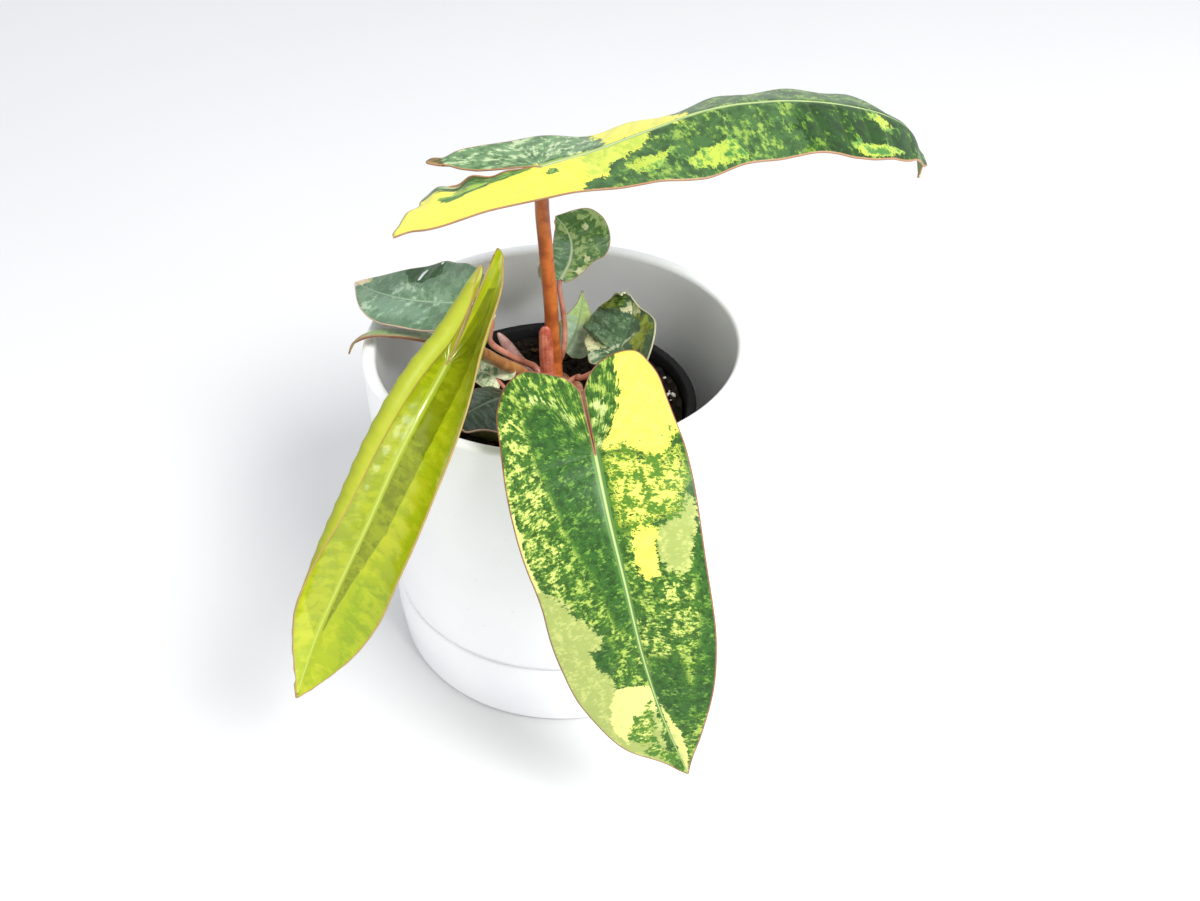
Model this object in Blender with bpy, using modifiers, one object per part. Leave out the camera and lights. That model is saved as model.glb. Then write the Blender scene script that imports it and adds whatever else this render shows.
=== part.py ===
"""A variegated, long-leaved philodendron in a nursery pot, inside a white cover pot on its saucer.

Lengths are written in millimetres and angles in degrees; each mesh or curve is made in metres.
The origin is on the surface the saucer stands on, on the pot's axis. The plant's front leaf hangs
over the rim towards -Y. The ten leaves were measured off a photograph of the real plant, so each
has its own midrib, outline, fold and curl.
"""

import math

import bmesh
import bpy
import numpy as np
from mathutils import Vector

METRES = 0.001
GAP = 0.3  # clearance between pieces that touch

# Cover pot and saucer, a glazed cylinder of one outer diameter
POT_RADIUS = 65.0
POT_TOP = 122.7
POT_WALL = 4.5
POT_FLOOR = 5.2
POT_FOOT_RADIUS = 60.0
SAUCER_RADIUS = 65.5
SAUCER_TOP = 26.35
SAUCER_FLOOR = 5.0
DRAIN_RADIUS = 6.0
FOOT_PLAY = 0.6  # the pot's foot stands this much clear of the saucer's wall all round
POT_BASE = SAUCER_FLOOR + GAP
TURNED_STEPS = 52
SEAM_MERGE = 0.00001  # metres

# Nursery pot, standing on the cover pot's floor a little off its axis
NURSERY_CENTRE = (-2.3, -2.0)
NURSERY_RADIUS = 50.0
NURSERY_FOOT_RADIUS = 37.0
NURSERY_TOP = 98.0
NURSERY_WALL = 1.0
NURSERY_LIP_WIDTH = 2.2
NURSERY_LIP_HEIGHT = 6.0
NURSERY_BASE = POT_BASE + POT_FLOOR + GAP
NURSERY_STEPS = 48

# Potting mix, level with a dip round the plant's crown
MIX_LEVEL = 90.5
MIX_DIP = 2.2
MIX_DIP_WIDTH = 15.0
MIX_LUMP = 0.7
MIX_RISE = 4.0  # at the nursery pot's wall, from MIX_RISE_FROM out
MIX_RISE_FROM = 30.0
MIX_RISE_WIDTH = 16.0
MIX_CLEARANCE = 0.6
MIX_RINGS = 9
MIX_SPOKES = 36

# The plant's short stem: a round head above a stalk in the mix
CROWN = (-2.0, 14.0, 89.5)
CROWN_RADIUS = 8.0
STEM_RADIUS = 5.0
STEM_FOOT = 52.0
STEM_STEPS = 24

BLADE_THICKNESS = 0.8
PETIOLE_RUN = 5.0  # how far a petiole runs on under its blade's midrib
VEIN_SWEEP = 0.3  # how far side veins slant forward, as a share of the blade's half width
PETIOLE_SIDES_RESOLUTION = 2

# A leaf's axis starts behind the sinus, where the petiole joins, and ends at the tip. Its outline
# gives (along, across) points, from the end of the slit between the lobes, round the lobe and up
# to the tip; lift and curl give (along, plus side, minus side) in degrees and degrees per mm. Where
# a margin is rolled over, roll adds more degrees per mm from roll_from mm out.
TOP_LEAF = {
    "axis": [(-32.0, 7.0, 169.5), (-3.0, 10.0, 179.0), (13.5, 11.5, 183.0), (30.0, 13.5, 188.0),
             (49.0, 16.5, 193.0), (62.5, 18.5, 194.2), (79.0, 20.5, 193.5), (96.5, 22.0, 190.5),
             (108.0, 22.5, 187.0), (116.0, 22.5, 182.5), (121.0, 22.5, 175.0), (124.0, 22.5, 170.5),
             (123.5, 22.0, 168.0), (122.0, 21.5, 165.0)],
    "side": (0.3, -1.0, 0.0),
    "plus": [(-26, -12.4), (-37, -15.4), (-43.5, -12), (-46, -5), (-48, 4), (-47.5, 12), (-40, 15.4),
             (-26, 16.8), (-8, 18.3), (6, 22), (20, 23), (38, 25), (60, 25), (82, 24.5), (100, 24.5),
             (113, 23), (124, 18), (133, 9.5), (139, 2.5), (144, 0)],
    "minus": [(-26, -14.8), (-32, -20.4), (-34.2, -23.2), (-28, -25.5), (-18, -27.5), (0, -25.5),
              (26, -24), (60, -25.5), (90, -25.5), (106, -24.5), (118, -22), (128, -15.5), (137, -5), (144, 0)],
    "lift": [(-30, 8, 12), (0, 4, 0), (15, 2, -11), (30, -6, -13), (50, -18, -15), (65, -18, -14),
             (80, -15.5, -11), (95, -15.5, -7), (110, -17, -3), (125, -22, -4), (140, -22, -15)],
    "curl": [(-30, -0.3, -0.3), (140, -0.3, -0.3)],
    "ripple": (0.9, 27.0),
    "leaves_at": (70, 12),
    "petiole": [(-1.4, 15.5, 108.0), (-1.6, 13.2, 128.0), (-2.5, 11.5, 150.0), (-3.0, 10.4, 166.0)],
    "girth": (2.6, 2.3),
}
FRONT_LEAF = {
    "axis": [(7.0, -56.0, 137.0), (9.5, -74.5, 131.0), (12.5, -89.5, 119.5), (16.5, -100.0, 103.0),
             (20.5, -107.0, 84.0), (25.5, -112.0, 65.0), (34.5, -117.5, 39.0)],
    "side": (-1.0, 0.12, 0.0),
    "plus": [(-22, 0.8), (-27.5, 5), (-30, 11), (-31, 16), (-28, 21), (-20, 25), (-5, 26.2),
             (18, 26.6), (40, 25), (60, 24.5), (78, 21), (92, 14.5), (101, 5), (108, 0)],
    "minus": [(-22, -0.8), (-29, -6), (-32.5, -12), (-32, -18), (-26, -21.7), (-13, -23.7),
              (10, -25.4), (37, -23.5), (62, -21.4), (80, -16), (93, -9), (103, -2.5), (108, 0)],
    "lift": [(-30, 12, 12), (0, 8, 8), (110, 5, 5)],
    "curl": [(-30, -0.5, -0.5), (110, -0.5, -0.5)],
    "ripple": (0.5, 22.0),
    "leaves_at": (300, 52),
    "petiole": [(5.0, -2.0, 103.0), (6.5, -28.0, 119.0), (8.0, -52.0, 127.5)],
    "girth": (1.7, 1.5),
}
LEFT_LEAF = {
    "axis": [(-20.5, -15.5, 157.5), (-32.5, -44.5, 143.0), (-40.0, -59.0, 136.0),
             (-47.5, -68.5, 126.0), (-56.0, -78.0, 112.0), (-65.0, -85.5, 97.0),
             (-73.5, -93.0, 82.0), (-81.0, -103.5, 66.0)],
    "side": (-0.88, 0.19, 0.44),
    "plus": [(-24, 0.9), (-28.5, 1.6), (-30, 3.4), (-28, 7), (-22, 12.5), (-10, 18), (0, 20.5), (20, 19.8),
             (40, 18), (60, 16), (80, 11.5), (95, 6), (104, 2.2), (110.5, 0)],
    "minus": [(-37, -0.4), (-43, -0.8), (-41.5, -2.6), (-36, -5.2), (-27, -9.5), (-12, -15), (0, -17),
              (20, -17.4), (40, -16.6), (60, -16.2), (80, -15.5), (93, -12), (103, -6), (110.5, 0)],
    "lift": [(-30, 38, 20), (0, 14, 12), (20, 6, 4), (40, 4, 0), (60, 4, 0), (80, 14, 0),
             (110, 24, 4)],
    "curl": [(-30, 7, 7), (0, 6, 5.8), (20, 5, 4.4), (40, 4.6, 3.6), (60, 4.4, 3), (80, 4.2, 2.2),
             (110, 3, 2)],
    "roll": [(-30, 12, 0), (0, 16, 0), (60, 16, 0), (85, 6, 0), (110, 0, 0)],
    "roll_from": [(-30, 4, 0), (-20, 9, 0), (0, 14, 0), (20, 13, 0), (40, 11.5, 0), (60, 10.5, 0),
                 (80, 9, 0), (110, 9, 0)],
    "ripple": (0.0, 20.0),
    "leaves_at": (190, 52),
    "petiole": [(-12.0, 11.0, 98.5), (-20.0, 2.0, 109.0), (-24.0, -10.5, 123.5),
                (-27.0, -26.0, 135.5)],
    "girth": (2.3, 1.9),
}
LEFT_BACK_LEAF = {
    "axis": [(-17.5, 5.5, 132.5), (-26.0, 5.5, 133.0), (-35.0, 5.5, 133.5), (-45.5, 6.5, 133.0),
             (-54.0, 11.0, 132.0), (-63.5, 21.5, 130.5), (-70.5, 29.0, 129.5)],
    "side": (0.12, 1.0, 0.1),
    "plus": [(-4, 3), (-5, 10), (1, 18), (10, 21.5), (20, 22), (30, 18.5), (39, 12), (46, 5.5),
             (51.5, 0)],
    "minus": [(-5, -3), (-6, -6.5), (-1, -10), (8, -12), (18, -12.5), (28, -11), (37, -8), (45, -3.5),
              (51.5, 0)],
    "lift": [(-6, 8, 6), (51, 4, 4)],
    "curl": [(-6, -0.6, -0.8), (51, -0.6, -0.8)],
    "ripple": (0.3, 14.0),
    "leaves_at": (145, 45),
    "petiole": [(-12.5, 18.0, 101.5), (-17.5, 12.0, 112.0), (-21.5, 6.5, 124.0)],
    "girth": (1.1, 1.0),
}
NARROW_LEAF = {
    "axis": [(-36.0, 4.0, 119.0), (-43.0, 1.5, 123.0), (-48.0, -0.5, 125.5), (-54.0, -1.0, 126.7),
             (-61.0, -1.0, 126.8), (-67.0, -1.5, 124.5), (-70.5, -2.5, 119.0)],
    "side": (0.05, 0.86, -0.52),
    "plus": [(-2.5, 1.2), (-3, 2.8), (0, 4.2), (8, 4.6), (16, 4), (23, 2.4), (28, 0.8), (31, 0)],
    "minus": [(-2.5, -1.2), (-3, -2.8), (0, -4.2), (8, -4.6), (16, -4), (23, -2.4), (28, -0.8), (31, 0)],
    "lift": [(-4, 14, 14), (31, 6, 6)],
    "curl": [(-4, 0, 0), (31, 0, 0)],
    "ripple": (0.0, 12.0),
    "leaves_at": (168, 78),
    "petiole": [(-16.5, 16.0, 96.5), (-26.0, 13.0, 104.5), (-34.0, 7.5, 112.5)],
    "girth": (0.9, 0.8),
}
BACK_LEAF = {
    "axis": [(-1.5, 28.0, 119.0), (2.3, 30.0, 126.5), (5.8, 31.7, 133.2), (6.6, 33.6, 138.0),
             (5.0, 36.4, 142.8), (0.5, 40.0, 147.5)],
    "side": (1.0, 0.1, -0.25),
    "plus": [(-0.5, 2), (2.5, 4.6), (6, 6.6), (9, 9), (11.5, 11.8), (14.5, 13.8), (17.5, 13), (21, 9),
             (24.4, 3.6), (25.5, 0)],
    "minus": [(-3, -3), (-4, -7.5), (-0.5, -11.3), (5, -11.8), (10, -9.8), (15, -7.4), (20, -4.8),
              (23.5, -2.2), (25.5, 0)],
    "lift": [(-4, 8, 8), (25, 5, 5)],
    "curl": [(-4, -0.8, -0.8), (25, -0.8, -0.8)],
    "ripple": (0.4, 9.0),
    "leaves_at": (75, 55),
    "petiole": [(2.0, 22.5, 101.0), (3.0, 25.5, 109.0), (2.5, 26.5, 117.0)],
    "girth": (1.1, 0.9),
}
POINTED_LEAF = {
    "axis": [(0.5, 27.0, 92.5), (3.0, 28.0, 97.0), (6.5, 29.0, 103.5), (8.5, 30.5, 110.0),
             (9.5, 32.0, 114.5), (10.0, 34.0, 119.0)],
    "side": (1.0, 0.1, -0.3),
    "plus": [(-1, 3), (0, 6), (5, 8.5), (11, 7), (17, 3), (21, 1), (24.5, 0)],
    "minus": [(-2, -4), (-2, -8), (3, -10.5), (9, -9), (15, -5), (20, -1.8), (24.5, 0)],
    "lift": [(-3, 12, 12), (24, 6, 6)],
    "curl": [(-3, -0.6, -0.6), (24, -0.6, -0.6)],
    "ripple": (0.0, 8.0),
    "leaves_at": (105, 72),
    "petiole": [(-3.5, 25.5, 92.8), (-0.5, 28.2, 93.6)],
    "girth": (0.9, 0.8),
}
CURLED_LEAF = {
    "axis": [(17.5, 7.5, 105.0), (20.5, 9.0, 108.0), (23.0, 11.0, 112.0), (25.5, 14.0, 116.5),
             (27.0, 17.0, 121.0), (26.0, 18.0, 125.5), (23.5, 16.5, 128.0), (21.5, 14.0, 127.5)],
    "side": (0.88, -0.4, 0.25),
    "plus": [(-6, 3), (-8, 9), (-4, 14.5), (3, 17.5), (9, 16), (15, 12), (20, 7.5), (24, 3.5),
             (27, 0)],
    "minus": [(-7, -3), (-9, -8), (-5, -14), (2, -18.5), (9, -19), (15.5, -15.5), (21, -10),
              (25, -4), (27, 0)],
    "lift": [(-5, 14, 4), (27, 20, 6)],
    "curl": [(-5, 1.8, -2.0), (27, 1.8, -2.0)],
    "ripple": (0.4, 9.0),
    "leaves_at": (355, 55),
    "petiole": [(7.5, 11.0, 97.0), (12.5, 8.5, 101.0)],
    "girth": (1.1, 0.9),
}
SMALL_LEAF = {
    "axis": [(-16.5, 1.5, 98.0), (-20.0, 3.5, 99.5), (-23.0, 6.0, 99.5), (-26.0, 9.0, 98.0),
             (-29.0, 12.0, 95.5)],
    "side": (0.7, 0.7, -0.1),
    "plus": [(-2, 2), (-2, 4), (2, 6), (7, 5.5), (11.5, 3), (15, 0)],
    "minus": [(-2, -2), (-2, -4.5), (2, -6.5), (7, -6), (11.5, -3.5), (15, 0)],
    "lift": [(-2, -8, -8), (12, -4, -4)],
    "curl": [(-2, 3, -3), (12, 3, -3)],
    "ripple": (0.0, 6.0),
    "leaves_at": (222, 72),
    "petiole": [(-11.0, 5.0, 93.5), (-14.5, 1.5, 95.5)],
    "girth": (0.9, 0.8),
}
LOW_LEAF = {
    "axis": [(-11.0, 0.0, 97.0), (-15.0, -5.0, 102.0), (-20.5, -12.0, 106.5), (-26.0, -20.0, 109.5),
             (-30.5, -27.0, 111.5), (-35.0, -33.0, 112.0)],
    "side": (-0.74, 0.67, 0.0),
    "plus": [(-3, 2.5), (-3.5, 5), (1, 8), (9, 9.5), (18, 9), (26, 6), (31, 2.5), (34.5, 0)],
    "minus": [(-3, -2.5), (-3.5, -8), (1, -14), (9, -18.5), (18, -17.5), (26, -11.5), (31, -5),
              (34.5, 0)],
    "lift": [(-3, -4, -8), (34, -2, -8)],
    "curl": [(-3, 0.5, -1.2), (34, 0.5, -1.2)],
    "roll": [(-3, 0, 22), (26, 0, 22)],
    "roll_from": [(-3, 0, 10), (9, 0, 14), (18, 0, 13), (26, 0, 8)],
    "ripple": (0.3, 12.0),
    "leaves_at": (255, 72),
    "petiole": [(-5.5, 2.5, 94.0), (-10.0, -0.5, 97.0)],
    "girth": (0.9, 0.8),
}
LEAVES = {
    "top_leaf": TOP_LEAF,
    "front_leaf": FRONT_LEAF,
    "left_leaf": LEFT_LEAF,
    "left_back_leaf": LEFT_BACK_LEAF,
    "narrow_leaf": NARROW_LEAF,
    "back_leaf": BACK_LEAF,
    "pointed_leaf": POINTED_LEAF,
    "curled_leaf": CURLED_LEAF,
    "small_leaf": SMALL_LEAF,
    "low_leaf": LOW_LEAF,
}
LARGE_LEAVES = ("top_leaf", "front_leaf", "left_leaf")
LARGE_GRID = {"lobe": 9, "length": 16, "width": 7}
SMALL_GRID = {"lobe": 5, "length": 8, "width": 3}
FINE_STEPS = 400  # steps along an outline when looking up where a row meets it
TURN_STEPS = 24  # steps over which a blade's turning is summed from the midrib outwards

# Sheaths: the folded one that wraps the next leaf, and the dry one of an older leaf
GROWING_SHEATH = {"leaves_at": (255, 35), "route": [(-3.8, 7.6, 106.0), (-3.8, 7.0, 122.0)],
                  "girth": (2.2, 2.4)}
DRY_SHEATH = {"leaves_at": (132, 80), "route": [(-14.0, 25.5, 95.5), (-21.5, 29.0, 106.0)],
              "girth": (1.3, 1.2)}

COLOURS = {  # base colour, roughness
    "glaze": ((0.86, 0.86, 0.88, 1.0), 0.35),
    "black_plastic": ((0.02, 0.02, 0.02, 1.0), 0.5),
    "mix": ((0.03, 0.022, 0.016, 1.0), 0.95),
    "bark": ((0.25, 0.12, 0.06, 1.0), 0.7),
    "petiole": ((0.36, 0.12, 0.04, 1.0), 0.45),
    "green": ((0.06, 0.22, 0.06, 1.0), 0.4),
    "lime": ((0.42, 0.55, 0.03, 1.0), 0.25),
    "pink": ((0.5, 0.18, 0.15, 1.0), 0.5),
}


def clear_scene():
    for obj in list(bpy.data.objects):
        bpy.data.objects.remove(obj, do_unlink=True)


def new_collection(name):
    collection = bpy.data.collections.new(name)
    bpy.context.scene.collection.children.link(collection)
    return collection


def make_material(name):
    colour, roughness = COLOURS[name]
    material = bpy.data.materials.new(name)
    material.use_nodes = True
    shader = material.node_tree.nodes["Principled BSDF"]
    shader.inputs["Base Color"].default_value = colour
    shader.inputs["Roughness"].default_value = roughness
    shader.inputs["Metallic"].default_value = 0.0
    return material


def add_object(name, data, material, collection):
    obj = bpy.data.objects.new(name, data)
    data.materials.append(material)
    collection.objects.link(obj)
    return obj


def smooth(stations, values, at):
    """Values read off a cubic curve through the stations, going on straight past both ends."""
    stations = np.asarray(stations, float)
    values = np.asarray(values, float).reshape(len(stations), -1)
    step = np.diff(stations)[:, None]
    slope = np.diff(values, axis=0) / step
    tangent = np.vstack([slope[:1], (slope[:-1] * step[1:] + slope[1:] * step[:-1])
                         / (step[1:] + step[:-1]), slope[-1:]])
    at = np.atleast_1d(np.asarray(at, float))
    i = np.clip(np.searchsorted(stations, at) - 1, 0, len(stations) - 2)
    width = step[i]
    x = (at - stations[i])[:, None] / width
    t = np.clip(x, 0, 1)
    inside = ((2 * t**3 - 3 * t**2 + 1) * values[i] + (t**3 - 2 * t**2 + t) * width * tangent[i]
              + (3 * t**2 - 2 * t**3) * values[i + 1] + (t**3 - t**2) * width * tangent[i + 1])
    return inside + np.minimum(x, 0) * width * tangent[i] + np.maximum(x - 1, 0) * width * tangent[i + 1]


def run_lengths(points):
    """Distance along a list of points to each of them."""
    return np.concatenate([[0], np.cumsum(np.linalg.norm(np.diff(points, axis=0), axis=1))])


def axis_frame(leaf, along):
    """Point, across direction and upward normal on a leaf's midrib, with 0 at the sinus."""
    axis = np.asarray(leaf["axis"], float)
    stations = run_lengths(axis)
    stations = stations - stations[1]
    point = smooth(stations, axis, along)
    ahead = smooth(stations, axis, along + 0.5) - smooth(stations, axis, along - 0.5)
    ahead /= np.linalg.norm(ahead, axis=1, keepdims=True)
    side = np.asarray(leaf["side"], float)
    across = side - (ahead @ side)[:, None] * ahead
    across /= np.linalg.norm(across, axis=1, keepdims=True)
    return point, across, np.cross(across, ahead)


def read_rows(leaf, key, half, along):
    """A leaf's (along, plus, minus) rows read off for one half, or 0 where it has none."""
    column = 1 if half == "plus" else 2
    rows = leaf.get(key, [(0, 0, 0), (1, 0, 0)])
    return smooth([row[0] for row in rows], [row[column] for row in rows], along)


def blade_points(leaf, along, across, half):
    """Where flat (along, across) points of one half of the blade lie. Going out from the midrib the
    blade starts at the lift and turns by the curl and roll, so that a point lies at the mean cosine
    and sine of that angle, times its width; a ripple grows towards the margin."""
    lift, curl, roll, roll_from = (read_rows(leaf, key, half, along)
                                   for key in ("lift", "curl", "roll", "roll_from"))
    sign = 1 if half == "plus" else -1
    width = sign * across[:, None]
    way = width * (np.arange(TURN_STEPS) + 0.5) / TURN_STEPS
    angle = np.radians(lift + curl * way + roll * np.maximum(way - roll_from, 0))
    height, wavelength = leaf["ripple"]
    half_width = max(abs(v) for _, v in leaf[half])
    ripple = height * np.sin(2 * math.pi * along[:, None] / wavelength) * (width / half_width) ** 2
    point, sideways, up = axis_frame(leaf, along)
    sideways_run = sign * width * np.cos(angle).mean(axis=1, keepdims=True)
    rise = width * np.sin(angle).mean(axis=1, keepdims=True) + ripple
    return point + sideways * sideways_run + up * rise


def margin_rows(leaf, half, grid):
    """Where each row starts on the midrib and ends on the margin. The lobe's rows fan out from the
    sinus; past them both halves share evenly spaced starts, and rows slant forward as veins do."""
    outline = np.asarray(leaf[half], float)
    stations = run_lengths(outline)
    fine = np.linspace(0, stations[-1], FINE_STEPS)
    margin = smooth(stations, outline, fine)
    length = outline[-1, 0]
    sweep = VEIN_SWEEP * np.abs(outline[:, 1]).max()
    start = np.maximum.accumulate(np.maximum(0, margin[:, 0] - sweep * (1 - margin[:, 0] / length)))
    first = np.argmax(start > 0) - 1
    fan = np.linspace(0, fine[first], grid["lobe"], endpoint=False)
    starts = np.linspace(0, length, grid["length"] + 1)
    along_margin = np.interp(starts, start[first:], fine[first:])
    rows = smooth(stations, outline, np.concatenate([fan, along_margin]))
    return np.concatenate([np.zeros(grid["lobe"]), starts]), rows


def half_blade(leaf, half, grid):
    """A grid over one half: each row runs from the midrib to a point of the outline."""
    root, margin = margin_rows(leaf, half, grid)
    share = np.linspace(0, 1, grid["width"] + 1)[None, :]
    along = root[:, None] + (margin[:, 0] - root)[:, None] * share
    across = margin[:, 1][:, None] * share
    return blade_points(leaf, along.ravel(), across.ravel(), half)


def add_half(mesh, leaf, half, grid):
    """Adds one half of a blade to the mesh, its faces looking up."""
    points = half_blade(leaf, half, grid) * METRES
    made = bmesh.ops.create_grid(mesh, x_segments=grid["width"], y_segments=grid["lobe"] + grid["length"],
                                 size=0.5)["verts"]
    made.sort(key=lambda vert: (round(vert.co.y, 6), round(vert.co.x, 6)))
    for vert, point in zip(made, points):
        vert.co = point
    if half == "minus":
        bmesh.ops.reverse_faces(mesh, faces=list({face for vert in made for face in vert.link_faces}))


def make_blade(name, leaf, grid, material, collection):
    mesh = bmesh.new()
    for half in ("plus", "minus"):
        add_half(mesh, leaf, half, grid)
    bmesh.ops.remove_doubles(mesh, verts=mesh.verts, dist=0.02 * METRES)
    bmesh.ops.dissolve_degenerate(mesh, edges=mesh.edges, dist=0.01 * METRES)
    bmesh.ops.triangulate(mesh, faces=mesh.faces)
    data = bpy.data.meshes.new(name)
    mesh.to_mesh(data)
    mesh.free()
    blade = add_object(name, data, material, collection)
    thicken = blade.modifiers.new("thickness", "SOLIDIFY")
    thicken.thickness = BLADE_THICKNESS * METRES
    thicken.offset = -1.0
    data.shade_smooth()
    return blade


def crown_direction(heading, tilt):
    """Unit direction out of the crown, by compass heading from +X and tilt from straight up."""
    heading, tilt = math.radians(heading), math.radians(tilt)
    return np.array([math.cos(heading) * math.sin(tilt), math.sin(heading) * math.sin(tilt),
                     math.cos(tilt)])


def crown_start(piece):
    """The first two points of a piece that grows out of the crown."""
    out = crown_direction(*piece["leaves_at"])
    return [np.array(CROWN) + out * (CROWN_RADIUS + reach) for reach in (GAP, GAP + 3.0)]


def petiole_route(leaf):
    """From the crown to the sinus, then on under the midrib, clear of the blade."""
    under = np.array([0.0, PETIOLE_RUN / 2, PETIOLE_RUN])
    point, _, up = axis_frame(leaf, under)
    depth = BLADE_THICKNESS + leaf["girth"][1] + GAP
    return np.array([*crown_start(leaf), *leaf["petiole"], *(point - up * depth)])


def make_rod(name, route, girth, spacing, material, collection):
    """A round rod through the route, its radius changing evenly from one end to the other."""
    route = np.asarray(route, float)
    stations = run_lengths(route)
    count = max(4, round(stations[-1] / spacing)) + 1
    points = smooth(stations, route, np.linspace(0, stations[-1], count)) * METRES
    data = bpy.data.curves.new(name, "CURVE")
    data.dimensions = "3D"
    data.bevel_depth = METRES
    data.bevel_resolution = PETIOLE_SIDES_RESOLUTION
    data.use_fill_caps = True
    spline = data.splines.new("POLY")
    spline.points.add(count - 1)
    for i, point in enumerate(points):
        spline.points[i].co = (*point, 1.0)
        spline.points[i].radius = girth[0] + (girth[1] - girth[0]) * i / (count - 1)
    return add_object(name, data, material, collection)


def arc(centre, radius, start, end, count):
    """Points of an arc in the profile plane, angles in degrees from outwards."""
    return [(centre[0] + radius * math.cos(math.radians(a)), centre[1] + radius * math.sin(math.radians(a)))
            for a in np.linspace(start, end, count)]


def make_turned(name, profile, steps, centre, material, collection):
    """A profile of (radius, height) points turned round Z. It runs down its outer side; where it
    doesn't start on the axis it is a closed loop, and the piece has a hole up its middle."""
    points = [(r * METRES, 0.0, z * METRES) for r, z in profile]
    edges = [(i, i + 1) for i in range(len(points) - 1)]
    if profile[0][0] > 0.0:
        edges.append((len(points) - 1, 0))
    data = bpy.data.meshes.new(name)
    data.from_pydata(points, edges, [])
    turned = add_object(name, data, material, collection)
    turned.location = (centre[0] * METRES, centre[1] * METRES, 0.0)
    screw = turned.modifiers.new("turn", "SCREW")
    screw.axis = "Z"
    screw.angle = 2 * math.pi
    screw.steps = steps
    screw.render_steps = steps
    screw.use_merge_vertices = True
    screw.merge_threshold = SEAM_MERGE
    screw.use_smooth_shade = True
    return turned


def make_saucer(material, collection):
    """A straight-sided dish with a softly rounded shoulder, which the pot's foot stands in."""
    inner = POT_FOOT_RADIUS + FOOT_PLAY
    hollow = [(inner - 4.0, SAUCER_FLOOR), (inner - 1.0, SAUCER_FLOOR + 1.0), (inner, SAUCER_FLOOR + 4.0),
              (inner, SAUCER_TOP - 0.5), (inner + 0.5, SAUCER_TOP)]
    shoulder = arc((SAUCER_RADIUS - 2.0, SAUCER_TOP - 1.0), 1.0, 90, 20, 4)
    side = [(SAUCER_RADIUS - 0.4, 22.0), (SAUCER_RADIUS, 17.0), (SAUCER_RADIUS - 0.5, 8.0)]
    foot = arc((SAUCER_RADIUS - 2.9, 2.0), 2.0, 0, -90, 4)
    profile = [(0.0, SAUCER_FLOOR)] + hollow + shoulder + side + foot + [(0.0, 0.0)]
    return make_turned("saucer", profile, TURNED_STEPS, (0, 0), material, collection)


def make_cover_pot(material, collection):
    """A cylinder with a soft rim; its foot steps in and stands on the saucer's floor."""
    inside = POT_RADIUS - POT_WALL
    shoulder = SAUCER_TOP + GAP
    rim = arc((POT_RADIUS - 1.4, POT_TOP - 1.4), 1.4, 90, 0, 4)
    side = [(POT_RADIUS, 40.0), (POT_RADIUS - 0.3, 31.0), (POT_RADIUS - 1.2, shoulder)]
    foot = [(POT_FOOT_RADIUS, shoulder), (POT_FOOT_RADIUS, POT_BASE + 4.5),
            (POT_FOOT_RADIUS - 1.5, POT_BASE + 1.0), (POT_FOOT_RADIUS - 5.0, POT_BASE)]
    hole = [(DRAIN_RADIUS, POT_BASE), (DRAIN_RADIUS, POT_BASE + POT_FLOOR)]
    hollow = arc((inside - 8.0, POT_BASE + POT_FLOOR + 8.0), 8.0, -90, 0, 4)
    lip = arc((inside + 2.2, POT_TOP - 2.2), 2.2, 180, 90, 4)
    profile = rim + side + foot + hole + hollow + lip
    return make_turned("cover_pot", profile, TURNED_STEPS, (0, 0), material, collection)


def nursery_radius(height):
    """Outer radius of the nursery pot's tapered wall at a height."""
    share = (height - NURSERY_BASE) / (NURSERY_TOP - NURSERY_BASE)
    top = NURSERY_RADIUS - NURSERY_LIP_WIDTH
    return NURSERY_FOOT_RADIUS + (top - NURSERY_FOOT_RADIUS) * share


def make_nursery_pot(material, collection):
    """A thin tapered pot with a turned-out lip and one drain hole in its floor."""
    floor_top = NURSERY_BASE + NURSERY_WALL
    under_lip = NURSERY_TOP - NURSERY_LIP_HEIGHT
    lip = [(NURSERY_RADIUS - 0.5, NURSERY_TOP), (NURSERY_RADIUS, NURSERY_TOP - 0.6),
           (NURSERY_RADIUS, under_lip), (nursery_radius(under_lip), under_lip)]
    wall = [(NURSERY_FOOT_RADIUS, NURSERY_BASE + 1.0), (NURSERY_FOOT_RADIUS - 1.0, NURSERY_BASE)]
    hole = [(DRAIN_RADIUS, NURSERY_BASE), (DRAIN_RADIUS, floor_top)]
    inside = [(NURSERY_FOOT_RADIUS - NURSERY_WALL, floor_top),
              (nursery_radius(NURSERY_TOP) - NURSERY_WALL, NURSERY_TOP)]
    profile = lip + wall + hole + inside
    return make_turned("nursery_pot", profile, NURSERY_STEPS, NURSERY_CENTRE, material, collection)


def mix_height(x, y):
    """The potting mix's top: level, dipping at the crown and rising to the nursery pot's wall, with
    small lumps away from the crown."""
    away = np.hypot(x - CROWN[0], y - CROWN[1])
    dip = np.exp(-((away / MIX_DIP_WIDTH) ** 2))
    lumps = np.sin(0.55 * x + 1.0) * np.sin(0.47 * y) + 0.6 * np.sin(0.9 * x - 0.7 * y)
    out = np.hypot(x - NURSERY_CENTRE[0], y - NURSERY_CENTRE[1])
    rise = MIX_RISE * np.clip((out - MIX_RISE_FROM) / MIX_RISE_WIDTH, 0, 1) ** 2
    return MIX_LEVEL - MIX_DIP * dip + rise + MIX_LUMP * lumps * (1 - dip)


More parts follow.
